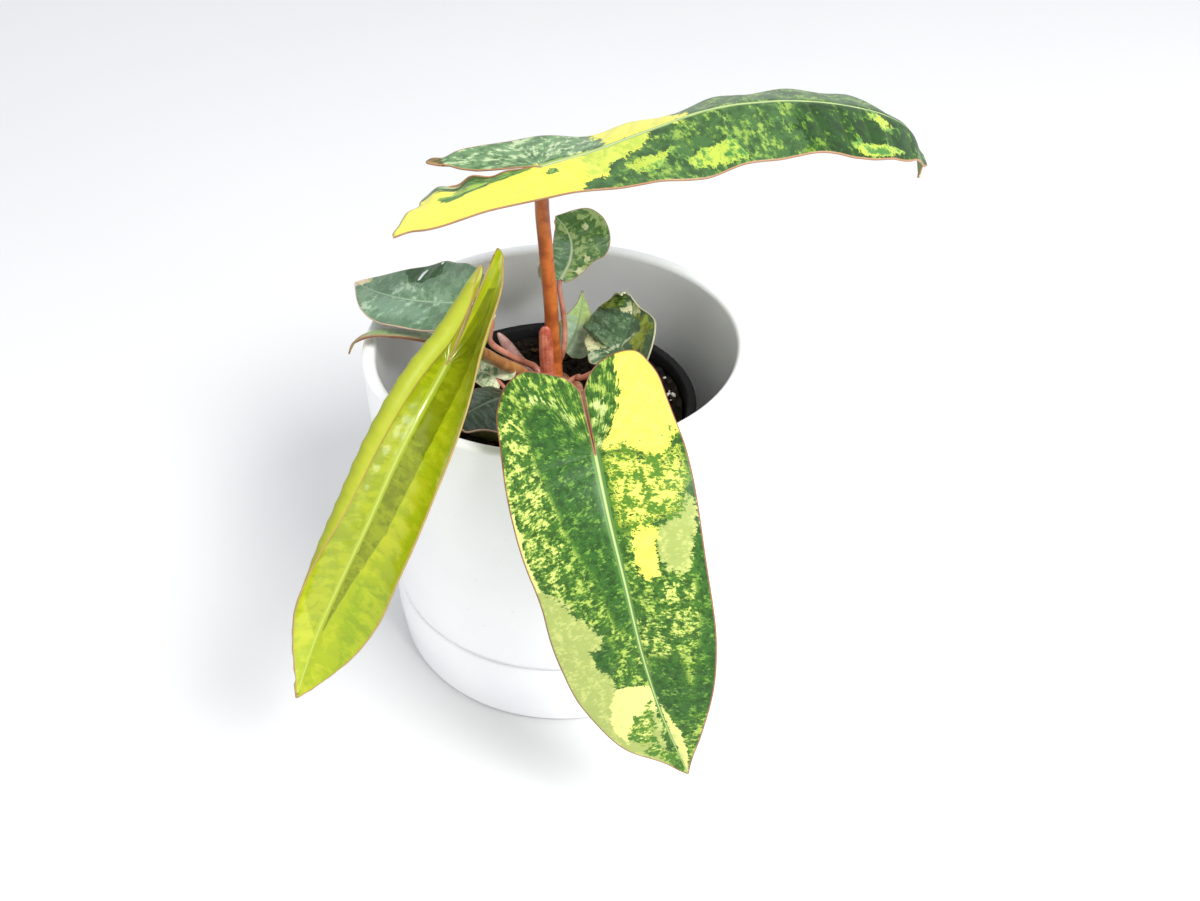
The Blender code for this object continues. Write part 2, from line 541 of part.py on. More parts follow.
def mix_loops():
    """Rings of points up the stem's hole, out over the lumpy top and down the nursery pot's wall."""
    centre = np.array(CROWN[:2])
    angles = np.linspace(0, 2 * math.pi, MIX_SPOKES, endpoint=False)
    spoke = np.stack([np.cos(angles), np.sin(angles)], axis=1)
    under_head = CROWN[2] - CROWN_RADIUS - GAP
    base = NURSERY_BASE + NURSERY_WALL + GAP
    hole = centre + spoke * (CROWN_RADIUS + GAP)
    stalk = centre + spoke * (STEM_RADIUS + GAP)

    def wall(height):
        inside = nursery_radius(height) - NURSERY_WALL - MIX_CLEARANCE
        return np.array(NURSERY_CENTRE) + spoke * inside

    def level(flat, height):
        return np.column_stack([flat, np.broadcast_to(height, MIX_SPOKES)])

    loops = [level(stalk, STEM_FOOT - GAP), level(stalk, under_head), level(hole, under_head)]
    for share in np.linspace(0, 1, MIX_RINGS):
        flat = hole * (1 - share) + wall(MIX_LEVEL) * share
        loops.append(level(flat, mix_height(flat[:, 0], flat[:, 1])))
    loops.append(level(wall(base), base))
    return loops


def make_potting_mix(material, collection):
    """The root ball: a tapered body with a lumpy top and a plain hole that the stem stands in."""
    mesh = bmesh.new()
    loops = [[mesh.verts.new(Vector(point) * METRES) for point in loop] for loop in mix_loops()]
    for lower, upper in zip(loops, loops[1:]):
        for i in range(MIX_SPOKES):
            j = (i + 1) % MIX_SPOKES
            mesh.faces.new((lower[i], upper[i], upper[j], lower[j]))
    for end in (loops[0], loops[-1]):
        mesh.faces.new(end)
    bmesh.ops.triangulate(mesh, faces=mesh.faces)
    bmesh.ops.recalc_face_normals(mesh, faces=mesh.faces)
    data = bpy.data.meshes.new("potting_mix")
    mesh.to_mesh(data)
    mesh.free()
    return add_object("potting_mix", data, material, collection)


def make_stem(material, collection):
    """A round head that the petioles grow from, on a stalk that stands in the mix."""
    joint = math.degrees(math.asin(STEM_RADIUS / CROWN_RADIUS))
    head = arc((0.0, CROWN[2]), CROWN_RADIUS, 90, joint - 90, 9)[1:]
    top = (0.0, CROWN[2] + CROWN_RADIUS)
    profile = [top] + head + [(STEM_RADIUS, STEM_FOOT), (0.0, STEM_FOOT)]
    return make_turned("stem", profile, STEM_STEPS, CROWN, material, collection)


def main():
    clear_scene()
    collection = new_collection("potted_philodendron")
    materials = {name: make_material(name) for name in COLOURS}
    make_saucer(materials["glaze"], collection)
    make_cover_pot(materials["glaze"], collection)
    make_nursery_pot(materials["black_plastic"], collection)
    make_potting_mix(materials["mix"], collection)
    make_stem(materials["bark"], collection)
    for name, leaf in LEAVES.items():
        large = name in LARGE_LEAVES
        blade = materials["lime" if name == "left_leaf" else "green"]
        make_blade(name + "_blade", leaf, LARGE_GRID if large else SMALL_GRID, blade, collection)
        stalk = materials["petiole" if large else "pink"]
        make_rod(name + "_petiole", petiole_route(leaf), leaf["girth"], 5.0 if large else 3.0, stalk,
                 collection)
    for name, sheath in (("growing_sheath", GROWING_SHEATH), ("dry_sheath", DRY_SHEATH)):
        route = [*crown_start(sheath), *sheath["route"]]
        make_rod(name, route, sheath["girth"], 3.0, materials["pink"], collection)


main()
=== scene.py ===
# The looks of a potted, variegated philodendron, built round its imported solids.
# Sizes are in millimetres and colours are linear; a mesh is scaled to metres when it is made.
import math

import bpy
import numpy as np
from mathutils import Matrix, Vector


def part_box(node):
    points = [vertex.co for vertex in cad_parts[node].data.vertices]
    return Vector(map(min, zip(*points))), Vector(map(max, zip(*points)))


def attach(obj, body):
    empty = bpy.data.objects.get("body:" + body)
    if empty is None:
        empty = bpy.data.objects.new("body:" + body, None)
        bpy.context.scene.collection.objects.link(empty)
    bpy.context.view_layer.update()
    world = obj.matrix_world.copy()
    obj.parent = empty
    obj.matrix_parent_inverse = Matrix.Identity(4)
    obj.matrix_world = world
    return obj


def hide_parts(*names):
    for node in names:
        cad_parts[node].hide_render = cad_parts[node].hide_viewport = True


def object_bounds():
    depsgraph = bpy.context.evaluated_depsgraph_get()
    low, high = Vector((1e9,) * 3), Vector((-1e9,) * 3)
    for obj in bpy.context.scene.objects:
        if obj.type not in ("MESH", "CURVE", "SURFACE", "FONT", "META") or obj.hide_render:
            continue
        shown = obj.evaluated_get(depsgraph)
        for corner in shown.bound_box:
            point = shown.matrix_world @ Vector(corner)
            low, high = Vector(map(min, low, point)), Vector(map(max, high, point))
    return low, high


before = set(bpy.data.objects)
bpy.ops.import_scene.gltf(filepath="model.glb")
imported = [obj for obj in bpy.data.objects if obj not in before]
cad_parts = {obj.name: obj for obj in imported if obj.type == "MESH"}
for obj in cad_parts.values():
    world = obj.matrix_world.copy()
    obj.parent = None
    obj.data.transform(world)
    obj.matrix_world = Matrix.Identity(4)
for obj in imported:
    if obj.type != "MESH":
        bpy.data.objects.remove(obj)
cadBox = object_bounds()
mm = 0.001
print("solids loaded:", len(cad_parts))

photoCamera = {
    "place": (0.0, -320.54, 330.43),
    "turn": 0.04391,        # radians to the right of +Y
    "down": 0.67758,        # radians below level
    "roll": -0.01278,       # radians about the way it looks
    "focalPixels": 1129.64,
    "photoWidth": 1200,
    "sensor": 36.0,
    "clipStart": 0.01,      # metres
}


def makeCamera(view):
    # the ahead vector is turned right by turn and down by down; right and up are rolled about it
    turn, down, roll = view["turn"], view["down"], view["roll"]
    ahead = Vector((math.sin(turn) * math.cos(down), math.cos(turn) * math.cos(down),
                    -math.sin(down)))
    level = ahead.cross(Vector((0, 0, 1))).normalized()
    rise = level.cross(ahead)
    right = level * math.cos(roll) + rise * math.sin(roll)
    up = rise * math.cos(roll) - level * math.sin(roll)
    lens = bpy.data.cameras.new("photoCamera")
    lens.sensor_width = view["sensor"]
    lens.lens = view["focalPixels"] / view["photoWidth"] * view["sensor"]
    lens.clip_start = view["clipStart"]
    camera = bpy.data.objects.new("photoCamera", lens)
    place = Vector(view["place"]) * mm
    columns = (right, up, -ahead, place)
    rows = [[column[i] for column in columns] for i in range(3)]
    camera.matrix_world = Matrix(rows + [[0, 0, 0, 1]])
    bpy.context.scene.collection.objects.link(camera)
    bpy.context.scene.camera = camera


makeCamera(photoCamera)
print("camera placed")


def runLengths(points):
    # distance along a list of points to each of them
    return np.concatenate([[0], np.cumsum(np.linalg.norm(np.diff(points, axis=0), axis=1))])


def smoothCurve(stations, values, at):
    # cubic Hermite through the stations, each tangent the weighted mean of the slopes beside it,
    # going on straight past both ends
    stations = np.asarray(stations, float)
    values = np.asarray(values, float).reshape(len(stations), -1)
    span = np.diff(stations)[:, None]
    slope = np.diff(values, axis=0) / span
    inner = (slope[:-1] * span[1:] + slope[1:] * span[:-1]) / (span[1:] + span[:-1])
    tangent = np.vstack([slope[:1], inner, slope[-1:]])
    at = np.atleast_1d(np.asarray(at, float))
    i = np.clip(np.searchsorted(stations, at) - 1, 0, len(stations) - 2)
    width = span[i]
    x = (at - stations[i])[:, None] / width
    t = np.clip(x, 0, 1)
    inside = ((2 * t**3 - 3 * t**2 + 1) * values[i] + (t**3 - 2 * t**2 + t) * width * tangent[i]
              + (3 * t**2 - 2 * t**3) * values[i + 1] + (t**3 - t**2) * width * tangent[i + 1])
    past = np.minimum(x, 0) * width * tangent[i] + np.maximum(x - 1, 0) * width * tangent[i + 1]
    return inside + past


def lineDistance(at, line):
    # distance from each flat place to the nearest edge of an open line of points
    a = np.asarray(line, float)[:-1]
    edge = np.asarray(line, float)[1:] - a
    toward = at[:, None, :] - a
    t = np.clip((toward * edge).sum(-1) / np.maximum((edge**2).sum(-1), 1e-9), 0, 1)
    return np.linalg.norm(toward - t[..., None] * edge, axis=-1).min(axis=1)


def regionDistance(at, outlines):
    # how far a flat place lies inside the nearest of several closed outlines, by even-odd crossings
    # of their edges; negative outside them, and kept within leafBuild's markReach
    reach = leafBuild["markReach"]
    best = np.full(len(at), -reach)
    for outline in outlines:
        a = np.asarray(outline, float)
        b = np.roll(a, -1, axis=0)
        run, rise = (b - a).T
        rise = np.where(np.abs(rise) < 1e-9, 1e-9, rise)
        level = (a[:, 1] > at[:, 1:]) != (b[:, 1] > at[:, 1:])
        crossing = level & (at[:, :1] < a[:, 0] + run * (at[:, 1:] - a[:, 1]) / rise)
        gap = lineDistance(at, np.vstack([a, a[:1]]))
        best = np.maximum(best, np.where(crossing.sum(axis=1) % 2 == 1, gap, -gap))
    return np.clip(best, -reach, reach)


def gridPatch(points, ids, uv=None, values=None):
    # one grid of a piece: points (rows, columns, 3) and the point number of each grid place
    return {"points": points, "ids": ids, "uv": uv or {}, "values": values or {}}


def gridCorners(rows, columns):
    # the four grid places round every cell, going round it once
    place = np.arange(rows * columns).reshape(rows, columns)
    corners = [place[:-1, :-1], place[1:, :-1], place[1:, 1:], place[:-1, 1:]]
    return np.stack(corners, axis=-1).reshape(-1, 4)


def fillMesh(name, co, groups):
    # faces come in groups, each of one number of corners
    loops = np.concatenate([group.ravel() for group in groups])
    sizes = np.concatenate([np.full(len(group), group.shape[1]) for group in groups])
    data = bpy.data.meshes.new(name)
    data.vertices.add(len(co))
    data.vertices.foreach_set("co", co.astype(np.float32).ravel())
    data.loops.add(len(loops))
    data.loops.foreach_set("vertex_index", loops.astype(np.int32))
    data.polygons.add(len(sizes))
    starts = np.concatenate([[0], np.cumsum(sizes)[:-1]])
    data.polygons.foreach_set("loop_start", starts.astype(np.int32))
    data.update(calc_edges=True)
    data.shade_smooth()
    return data


def meshFromPatches(name, patches, closed=True):
    # every cell is a four-sided face; where two neighbouring corners are one point it is a
    # triangle. A closed piece is turned outwards by the sign of its volume
    ids = np.concatenate([p["ids"].ravel() for p in patches])
    points = np.concatenate([p["points"].reshape(-1, 3) for p in patches]) * mm
    kept, firstPlace, number = np.unique(ids, return_index=True, return_inverse=True)
    number = number.ravel()
    corners, offset = [], 0
    for p in patches:
        corners.append(gridCorners(*p["ids"].shape) + offset)
        offset += p["ids"].size
    corners = np.concatenate(corners)
    same = number[corners] == number[np.roll(corners, -1, axis=1)]
    groups = [corners[same.sum(axis=1) == 0]]
    for side in range(4):
        groups.append(np.delete(corners[same[:, side] & (same.sum(axis=1) == 1)], side, axis=1))
    if closed:
        volume = sum((points[g[:, 0]] * np.cross(points[g[:, k]], points[g[:, k + 1]])).sum()
                     for g in groups for k in range(1, g.shape[1] - 1))
        if volume < 0:
            groups = [group[:, ::-1] for group in groups]
    data = fillMesh(name, points[firstPlace], [number[group] for group in groups])
    loops = np.concatenate([group.ravel() for group in groups])
    for label in patches[0]["uv"]:
        layer = data.uv_layers.new(name=label)
        uv = np.concatenate([p["uv"][label].reshape(-1, 2) for p in patches])
        layer.data.foreach_set("uv", uv[loops].astype(np.float32).ravel())
    for label in patches[0]["values"]:
        layer = data.attributes.new(label, "FLOAT", "POINT")
        value = np.concatenate([p["values"][label].ravel() for p in patches])
        layer.data.foreach_set("value", value[firstPlace].astype(np.float32))
    return data


def holdInBox(data, box, inset=0.0):
    # a finer outline may bulge past the solid's coarser one, so points are held to a box
    low, high = np.array(box[0]) + inset, np.array(box[1]) - inset
    co = np.empty(len(data.vertices) * 3, np.float32)
    data.vertices.foreach_get("co", co)
    held = np.clip(co.reshape(-1, 3), low, high)
    data.vertices.foreach_set("co", held.astype(np.float32).ravel())
    data.update()


def addPiece(name, data, materials, nodes):
    # a finished piece: it rides on the one body and stands for its nodes
    piece = bpy.data.objects.new(name, data)
    for material in materials:
        data.materials.append(material)
    bpy.context.scene.collection.objects.link(piece)
    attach(piece, "root")
    if nodes:
        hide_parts(*nodes)
    return piece


def newMaterial(name, **sockets):
    material = bpy.data.materials.new(name)
    material.use_nodes = True
    shader = material.node_tree.nodes["Principled BSDF"]
    for socket, value in sockets.items():
        shader.inputs[socket.replace("_", " ")].default_value = value
    return material, material.node_tree, shader


def addNode(tree, kind, inputs, **settings):
    # each input is a link from another node, or a fixed number or colour
    made = tree.nodes.new("ShaderNode" + kind)
    for key, value in settings.items():
        setattr(made, key, value)
    for key, value in inputs.items():
        target = made.inputs[key]
        if isinstance(value, bpy.types.NodeSocket):
            tree.links.new(value, target)
        elif target.type == "RGBA":
            target.default_value = (*value, 1.0)
        else:
            target.default_value = value
    return made


def noiseOf(tree, vector, scale, detail=2.0, roughness=0.5):
    inputs = {"Vector": vector, "Scale": scale, "Detail": detail, "Roughness": roughness}
    return addNode(tree, "TexNoise", inputs).outputs["Fac"]


def fade(tree, value, low, high, start=0.0, end=1.0):
    # smoothly from start, at or below low, to end, at or above high
    inputs = {"Value": value, "From Min": low, "From Max": high, "To Min": start, "To Max": end}
    return addNode(tree, "MapRange", inputs, interpolation_type="SMOOTHSTEP").outputs["Result"]


def sumOf(tree, operation, a, b=0.0, c=0.0):
    return addNode(tree, "Math", {0: a, 1: b, 2: c}, operation=operation).outputs[0]


def blendOf(tree, share, a, b):
    return addNode(tree, "Mix", {0: share, 6: a, 7: b}, data_type="RGBA").outputs[2]


def readValue(tree, label):
    return addNode(tree, "Attribute", {}, attribute_name=label).outputs["Fac"]


def readMap(tree, label, scale):
    uv = addNode(tree, "UVMap", {}, uv_map=label).outputs[0]
    return addNode(tree, "Mapping", {"Vector": uv, "Scale": scale}).outputs[0]


def addBump(tree, shader, height, distance, strength):
    inputs = {"Height": height, "Distance": distance * mm, "Strength": strength}
    made = addNode(tree, "Bump", inputs)
    tree.links.new(made.outputs["Normal"], shader.inputs["Normal"])


def setColour(tree, shader, colour):
    tree.links.new(colour, shader.inputs["Base Color"])


def objectPoint(tree):
    return addNode(tree, "TexCoord", {}).outputs["Object"]


# Leaves. An axis starts behind the sinus, where the petiole joins, and ends at the tip. The plus
# and minus outlines give (along, across) points from the slit round the lobe and up to the tip.
# Lift, curl, roll and rollFrom give (along, plus side, minus side): degrees at the midrib, degrees
# per mm outwards, more degrees per mm, and the mm from the midrib where those begin. Ripple and
# ruffle are (height, wavelength). Marks outline the coloured sectors in flat (along, across) mm.
leafBuild = {
    "sweep": 0.3,              # how far side veins slant forward, as a share of the half width
    "thickness": 0.55,
    "uvSpan": 200.0,           # mm that one UV unit stands for
    "uvStart": 0.4,
    "markReach": 8.0,          # mm from a sector's edge beyond which distances aren't told apart
    "midribIds": 1000,         # both halves share the point numbers below it
    "turnSteps": 24,           # steps that a half's turning is summed over
    "outlineSteps": 1200,
    "marginStep": 12,          # outline steps between the points that the margin is measured to
    "ruffleFade": (12.0, 2.0, 8.0),      # mm behind the sinus, gap to the slit and mm beyond it
    "fanSpacing": 1.8,         # of the veins round a lobe, against those along the blade
    "puffMean": 0.6,
    "puffEdge": 0.7,           # power: a lower one keeps the tissue full nearer the margin
    "lobePuff": (40.0, 0.3),   # mm behind the sinus over which puffs flatten, and the least share
    "channelWidth": 1.1,
    "ribTaper": (0.15, 1.15),
    "crown": (-2.0, 14.0, 89.5),
    "crownRadius": 8.0,
    "crownSteps": (-2.0, 3.3),           # mm from the crown's surface of a stalk's first points
    "large": {"lobe": 70, "length": 200, "width": 34},
    "small": {"lobe": 36, "length": 80, "width": 22},
}


def axisFrame(leaf, along):
    # midrib point, across direction and upward normal, with 0 at the sinus
    axis = np.asarray(leaf["axis"], float)
    stations = runLengths(axis)
    stations = stations - stations[1]
    point = smoothCurve(stations, axis, along)
    ahead = smoothCurve(stations, axis, along + 0.5) - smoothCurve(stations, axis, along - 0.5)
    ahead /= np.linalg.norm(ahead, axis=1, keepdims=True)
    side = np.asarray(leaf["side"], float)
    across = side - (ahead @ side)[:, None] * ahead
    across /= np.linalg.norm(across, axis=1, keepdims=True)
    return point, across, np.cross(across, ahead)


def bladePoints(leaf, along, across, half, relief):
    # going out from the midrib the blade starts at the lift and turns by the curl, and by the roll
    # past rollFrom, for every mm; a point lies at the mean cosine and sine of that angle over its
    # way out, times its width. The relief moves it along its own normal. A sine along the blade
    # ripples it, growing with the square of the way out, and a shorter one ruffles the inner side
    # of the plus lobe
    column = 1 if half == "plus" else 2
    sign = 1 if half == "plus" else -1
    none = [(0, 0, 0), (1, 0, 0)]
    lift, curl, roll, rollFrom = (
        smoothCurve([row[0] for row in rows], [row[column] for row in rows], along)
        for rows in (leaf.get(key, none) for key in ("lift", "curl", "roll", "rollFrom")))

    def facing(way):
        return np.radians(lift + curl * way + roll * np.maximum(way - rollFrom, 0))

    width = sign * across[:, None]
    steps = leafBuild["turnSteps"]
    angle = facing(width * (np.arange(steps) + 0.5) / steps)
    height, wavelength = leaf["ripple"]
    halfWidth = max(abs(v) for _, v in leaf[half])
    ripple = height * np.sin(2 * math.pi * along[:, None] / wavelength) * (width / halfWidth) ** 2
    if half == "plus" and "ruffle" in leaf:
        ruffle, wavelength = leaf["ruffle"]
        behind, gap, beyond = leafBuild["ruffleFade"]
        fadeIn = np.clip(-along / behind, 0, 1) * np.clip(-(across + gap) / beyond, 0, 1)
        ripple += (ruffle * np.sin(2 * math.pi * along / wavelength) * fadeIn)[:, None]
    point, sideways, up = axisFrame(leaf, along)
    last, relief = facing(width), relief[:, None]
    sidewaysRun = sign * (width * np.cos(angle).mean(axis=1, keepdims=True) - relief * np.sin(last))
    rise = width * np.sin(angle).mean(axis=1, keepdims=True) + ripple + relief * np.cos(last)
    return point + sideways * sidewaysRun + up * rise


def marginRows(leaf, half, lobeRows, lengthRows):
    # rows start on the midrib and end on the outline: the lobe's fan out from the sinus, and past
    # them both halves share evenly spaced starts, with rows slanting forward as veins do
    outline = np.asarray(leaf[half], float)
    stations = runLengths(outline)
    fine = np.linspace(0, stations[-1], leafBuild["outlineSteps"])
    margin = smoothCurve(stations, outline, fine)
    length = outline[-1, 0]
    sweep = leafBuild["sweep"] * np.abs(outline[:, 1]).max()
    start = np.maximum.accumulate(np.maximum(0, margin[:, 0] - sweep * (1 - margin[:, 0] / length)))
    first = np.argmax(start > 0) - 1
    fan = np.linspace(0, fine[first], lobeRows, endpoint=False)
    starts = np.linspace(0, length, lengthRows + 1)
    reach = np.concatenate([fan, np.interp(starts, start[first:], fine[first:])])
    root = np.concatenate([np.zeros(lobeRows), starts])
    coarse = np.vstack([[[0, 0]], margin[::leafBuild["marginStep"]], margin[-1:]])
    return root, smoothCurve(stations, outline, reach), reach, coarse


def halfBlade(leaf, half, grid, firstId):
    # rows run from the midrib to the margin. Side veins lie at whole numbers of veinRow; between
    # them the tissue is puffed up by |sin(pi veinRow)|, less its mean and times a power of
    # sin(pi share) from midrib to margin. A bell-shaped channel runs down the midrib
    root, end, reach, margin = marginRows(leaf, half, grid["lobe"], grid["length"])
    share = np.linspace(0, 1, grid["width"] + 1)[None, :]
    along = root[:, None] + (end[:, 0] - root)[:, None] * share
    across = end[:, 1][:, None] * share
    spacing = leaf["veinSpacing"]
    fanned = np.minimum(reach, reach[grid["lobe"]])
    row = fanned / (leafBuild["fanSpacing"] * spacing) + root / spacing
    veinRow = np.broadcast_to(row[:, None], along.shape)
    offRib = np.hypot(np.minimum(along, 0), across)
    puff = np.abs(np.sin(math.pi * veinRow)) - leafBuild["puffMean"]
    puff = puff * np.abs(np.sin(math.pi * share)) ** leafBuild["puffEdge"]
    fadeLength, least = leafBuild["lobePuff"]
    puff *= np.clip(1 + along / fadeLength, least, 1)
    channel = leaf["channel"] * np.exp(-((offRib / leafBuild["channelWidth"]) ** 2))
    relief = leaf["pucker"] * puff - channel
    points = bladePoints(leaf, along.ravel(), across.ravel(), half, relief.ravel())
    points = points.reshape(*along.shape, 3)
    flat = np.stack([along.ravel(), across.ravel()], axis=1)
    thinnest, thickest = leafBuild["ribTaper"]
    ribTaper = np.clip(thickest - np.maximum(along, 0) / end[-1, 0], thinnest, thickest)
    values = {"margin": lineDistance(flat, margin).reshape(along.shape),
              "rib": offRib / (leaf["ribWidth"] * ribTaper)}
    for label, outlines in leaf["marks"].items():
        values[label] = regionDistance(flat, outlines).reshape(along.shape)
    ids = firstId + np.arange(along.size).reshape(along.shape)
    ids[:grid["lobe"] + 1, 0] = 0
    ids[grid["lobe"]:, 0] = np.arange(grid["length"] + 1)
    ids[-1, :] = grid["length"]
    span, start = leafBuild["uvSpan"], leafBuild["uvStart"]
    uv = {"flat": np.stack([along, across], axis=-1) / span + start,
          "vein": np.stack([veinRow * spacing, across], axis=-1) / span + start}
    return gridPatch(points, ids, uv, values)


def turnColumns(patch):
    # the same grid with its columns the other way round, which turns its faces over
    return gridPatch(patch["points"][:, ::-1], patch["ids"][:, ::-1],
                     {label: part[:, ::-1] for label, part in patch["uv"].items()},
                     {label: part[:, ::-1] for label, part in patch["values"].items()})


def makeBlade(name, node, leaf, materials):
    # both halves meet along the midrib; Solidify gives the sheet its thickness, below its top
    grid = leafBuild[leaf["size"]]
    plus = halfBlade(leaf, "plus", grid, leafBuild["midribIds"])
    minus = halfBlade(leaf, "minus", grid, leafBuild["midribIds"] + plus["ids"].size)
    data = meshFromPatches(name, [turnColumns(plus), minus], closed=False)
    holdInBox(data, cadBox, leafBuild["thickness"] * mm)
    piece = addPiece(name, data, materials, [node])
    wall = piece.modifiers.new("thickness", "SOLIDIFY")
    wall.thickness = leafBuild["thickness"] * mm
    wall.offset = -1.0
    wall.material_offset = 1
    wall.material_offset_rim = 2
    return piece


def crownStart(piece):
    # two points out of the crown, by compass heading from +X and tilt from straight up
    heading, tilt = (math.radians(angle) for angle in piece["leavesAt"])
    out = np.array([math.cos(heading) * math.sin(tilt), math.sin(heading) * math.sin(tilt),
                    math.cos(tilt)])
    return [np.array(leafBuild["crown"]) + out * (leafBuild["crownRadius"] + more)
            for more in leafBuild["crownSteps"]]


def sweepTube(route, radius, side, section=None, sides=20, steps=110):
    # rings square to the route, at the ring's radius times the section's factor for each angle;
    # angle 0 looks along the side direction, and both ends close to a point
    route = np.asarray(route, float)
    stations = runLengths(route)
    at = np.linspace(0, stations[-1], steps)
    centre = smoothCurve(stations, route, at)
    ahead = np.gradient(centre, axis=0)
    ahead /= np.linalg.norm(ahead, axis=1, keepdims=True)
    side = np.asarray(side, float)
    first = side - (ahead @ side)[:, None] * ahead
    first /= np.linalg.norm(first, axis=1, keepdims=True)
    second = np.cross(ahead, first)
    angle = np.linspace(0, 2 * math.pi, sides + 1)
    wide, deep = section(angle) if section else (np.cos(angle), np.sin(angle))
    size = radius(at, stations[-1])[:, None, None]
    ring = first[:, None] * wide[:, None] + second[:, None] * deep[:, None]
    ring = centre[:, None] + size * ring
    ends = [np.broadcast_to(centre[i], (1, sides + 1, 3)) for i in (0, -1)]
    points = np.concatenate([ends[0], ring, ends[1]])
    ids = np.arange(points.shape[0] * (sides + 1)).reshape(-1, sides + 1)
    ids[:, -1] = ids[:, 0]
    ids[0], ids[-1] = ids[0, 0], ids[-1, 0]
    run = np.concatenate([[0], at, [at[-1]]])[:, None]
    around = np.linspace(0, 1, sides + 1)[None, :]
    uv = {"stalk": np.stack(np.broadcast_arrays(run / leafBuild["uvSpan"], around), axis=-1)}
    return gridPatch(points, ids, uv)


petioleBuild = {
    "ribShare": 0.85,          # of the blade's length that the raised midrib reaches
    "ribEnd": 0.12,            # its girth there, against the girth at the sinus
    "sink": 0.3,               # mm that its top lies below the channel
    "swell": 0.25, "swellLength": 5.0,
}


def makePetiole(name, node, leaf, material):
    # from the crown to the sinus, swollen a little at its base, then on under the blade as its
    # raised midrib, which thins as the square root of the way still to go
    length = leaf["plus"][-1][0]
    under = np.linspace(0, petioleBuild["ribShare"] * length, max(9, round(length / 3)))
    base, top = leaf["girth"]
    ribEnd = petioleBuild["ribEnd"]
    thin = top * (ribEnd + (1 - ribEnd) * np.sqrt(1 - under / under[-1]))
    point, _, up = axisFrame(leaf, under)
    depth = thin + leaf["channel"] + petioleBuild["sink"]
    route = np.array([*crownStart(leaf), *leaf["petiole"], *(point - up * depth[:, None])])
    free = runLengths(route)[-len(under)]

    def radius(at, end):
        swell = petioleBuild["swell"] * base * np.exp(-at / petioleBuild["swellLength"])
        stalk = base + (top - base) * at / free + swell
        rib = top * (ribEnd + (1 - ribEnd) * np.sqrt(np.clip((end - at) / (end - free), 0, 1)))
        return np.where(at < free, stalk, np.minimum(stalk, rib))

    side = leaf.get("stalkSide", leaf["side"])
    data = meshFromPatches(name, [sweepTube(route, radius, side, steps=160)])
    return addPiece(name, data, [material], [node])


topLeaf = {
    "size": "large",
    "axis": [(-32, 7, 169.5), (-3, 10, 179), (13.5, 11.5, 183), (30, 13.5, 188), (49, 16.5, 193),
             (62.5, 18.5, 194.2), (79, 20.5, 193.5), (96.5, 22, 190.5), (108, 22.5, 187),
             (116, 22.5, 182.5), (121, 22.5, 175), (124, 22.5, 170.5), (123.5, 22, 168),
             (122, 21.5, 165)],
    "side": (0.3, -1, 0),
    "plus": [(-26, -12.2), (-36, -16.8), (-39.5, -17.3), (-41.3, -14), (-42, -7), (-45.2, -4.2),
             (-46.8, 0), (-47.8, 4.5), (-49.6, 9), (-49.4, 11.8), (-46.8, 11.7), (-44, 11.9),
             (-40, 13.8), (-28, 15.6), (-18, 16.8), (-6, 18.8), (6, 22), (20, 23), (38, 25),
             (60, 25), (82, 24.5), (100, 24.5), (113, 23), (124, 18), (133, 9.5), (139, 2.5),
             (144, 0)],
    "minus": [(-20, -9.9), (-25, -13.8), (-28.8, -18), (-33, -20.9), (-35.5, -23.6), (-33.5, -25),
              (-29.5, -23.2), (-25.5, -24), (-18, -23.2), (-4, -23), (10, -23.2), (26, -24),
              (60, -25.5), (90, -25.5), (106, -24.5), (118, -22), (128, -15.5), (137, -5),
              (144, 0)],
    "lift": [(-30, 8, 12), (0, 4, 0), (15, 2, -11), (30, -6, -15), (45, -16, -19), (55, -18, -18),
             (65, -18, -14), (80, -15.5, -11), (95, -15.5, -7), (110, -17, -3), (125, -22, -4),
             (140, -22, -15)],
    "curl": [(-30, -0.3, -0.3), (140, -0.3, -0.3)],
    "ripple": (0.6, 27), "ruffle": (1, 12.5),
    "leavesAt": (70, 12),
    "petiole": [(-1.4, 15.5, 108), (-1.6, 13.2, 128), (-2.5, 11.5, 150), (-3, 10.4, 166)],
    "girth": (2.6, 2.3),
    "pucker": 0.5, "veinSpacing": 9, "channel": 0.35, "ribWidth": 1.3,
    "marks": {
        "yellow": [[(-52, -18), (-20, -5), (0, 0), (38, 0), (33, 5), (25, 9), (18, 14), (17, 17),
                    (12, 20), (8, 26), (-52, 26)],
                   [(22, 0), (50, 0), (46, -14), (42, -28), (16, -28), (19, -12)]],
        "fresh": [[(14, 0), (38, 0), (33, 5), (25, 9), (18, 14), (14, 18), (13, 9)]],
        "back": [[(-50, -16), (-20, -9), (0, 0), (26, 0), (20, -28), (-50, -30)]],
        "lime": [[(24, 13), (31, 12), (40, 11), (37, 14), (33, 19), (28, 19)],
                 [(43, 17), (52, 13), (59, 15), (62, 23), (50, 23), (42, 20)],
                 [(99, 19), (108, 17), (119, 17), (113, 22), (101, 24)],
                 [(107, 3), (112, 1), (116, 6), (111, 10)]],
        "bright": [[(84, 0), (140, -4), (140, 20), (112, 26), (84, 26), (80, 12)]],
        "green": [[(-28, -10), (-25, -9), (-20, -5), (-22, -1), (-30, 1), (-34, -1), (-34, -4),
                   (-28, -3)],
                  [(-20, -5), (-5, -3), (-3, 0), (-14, 0), (-22, -1)],
                  [(1, 5), (5, 4), (5, 8), (2, 9)]],
        "nub": [[(-28.4, -17), (-30.5, -21), (-30.5, -27), (-40, -27), (-40, -17)]],
    },
}
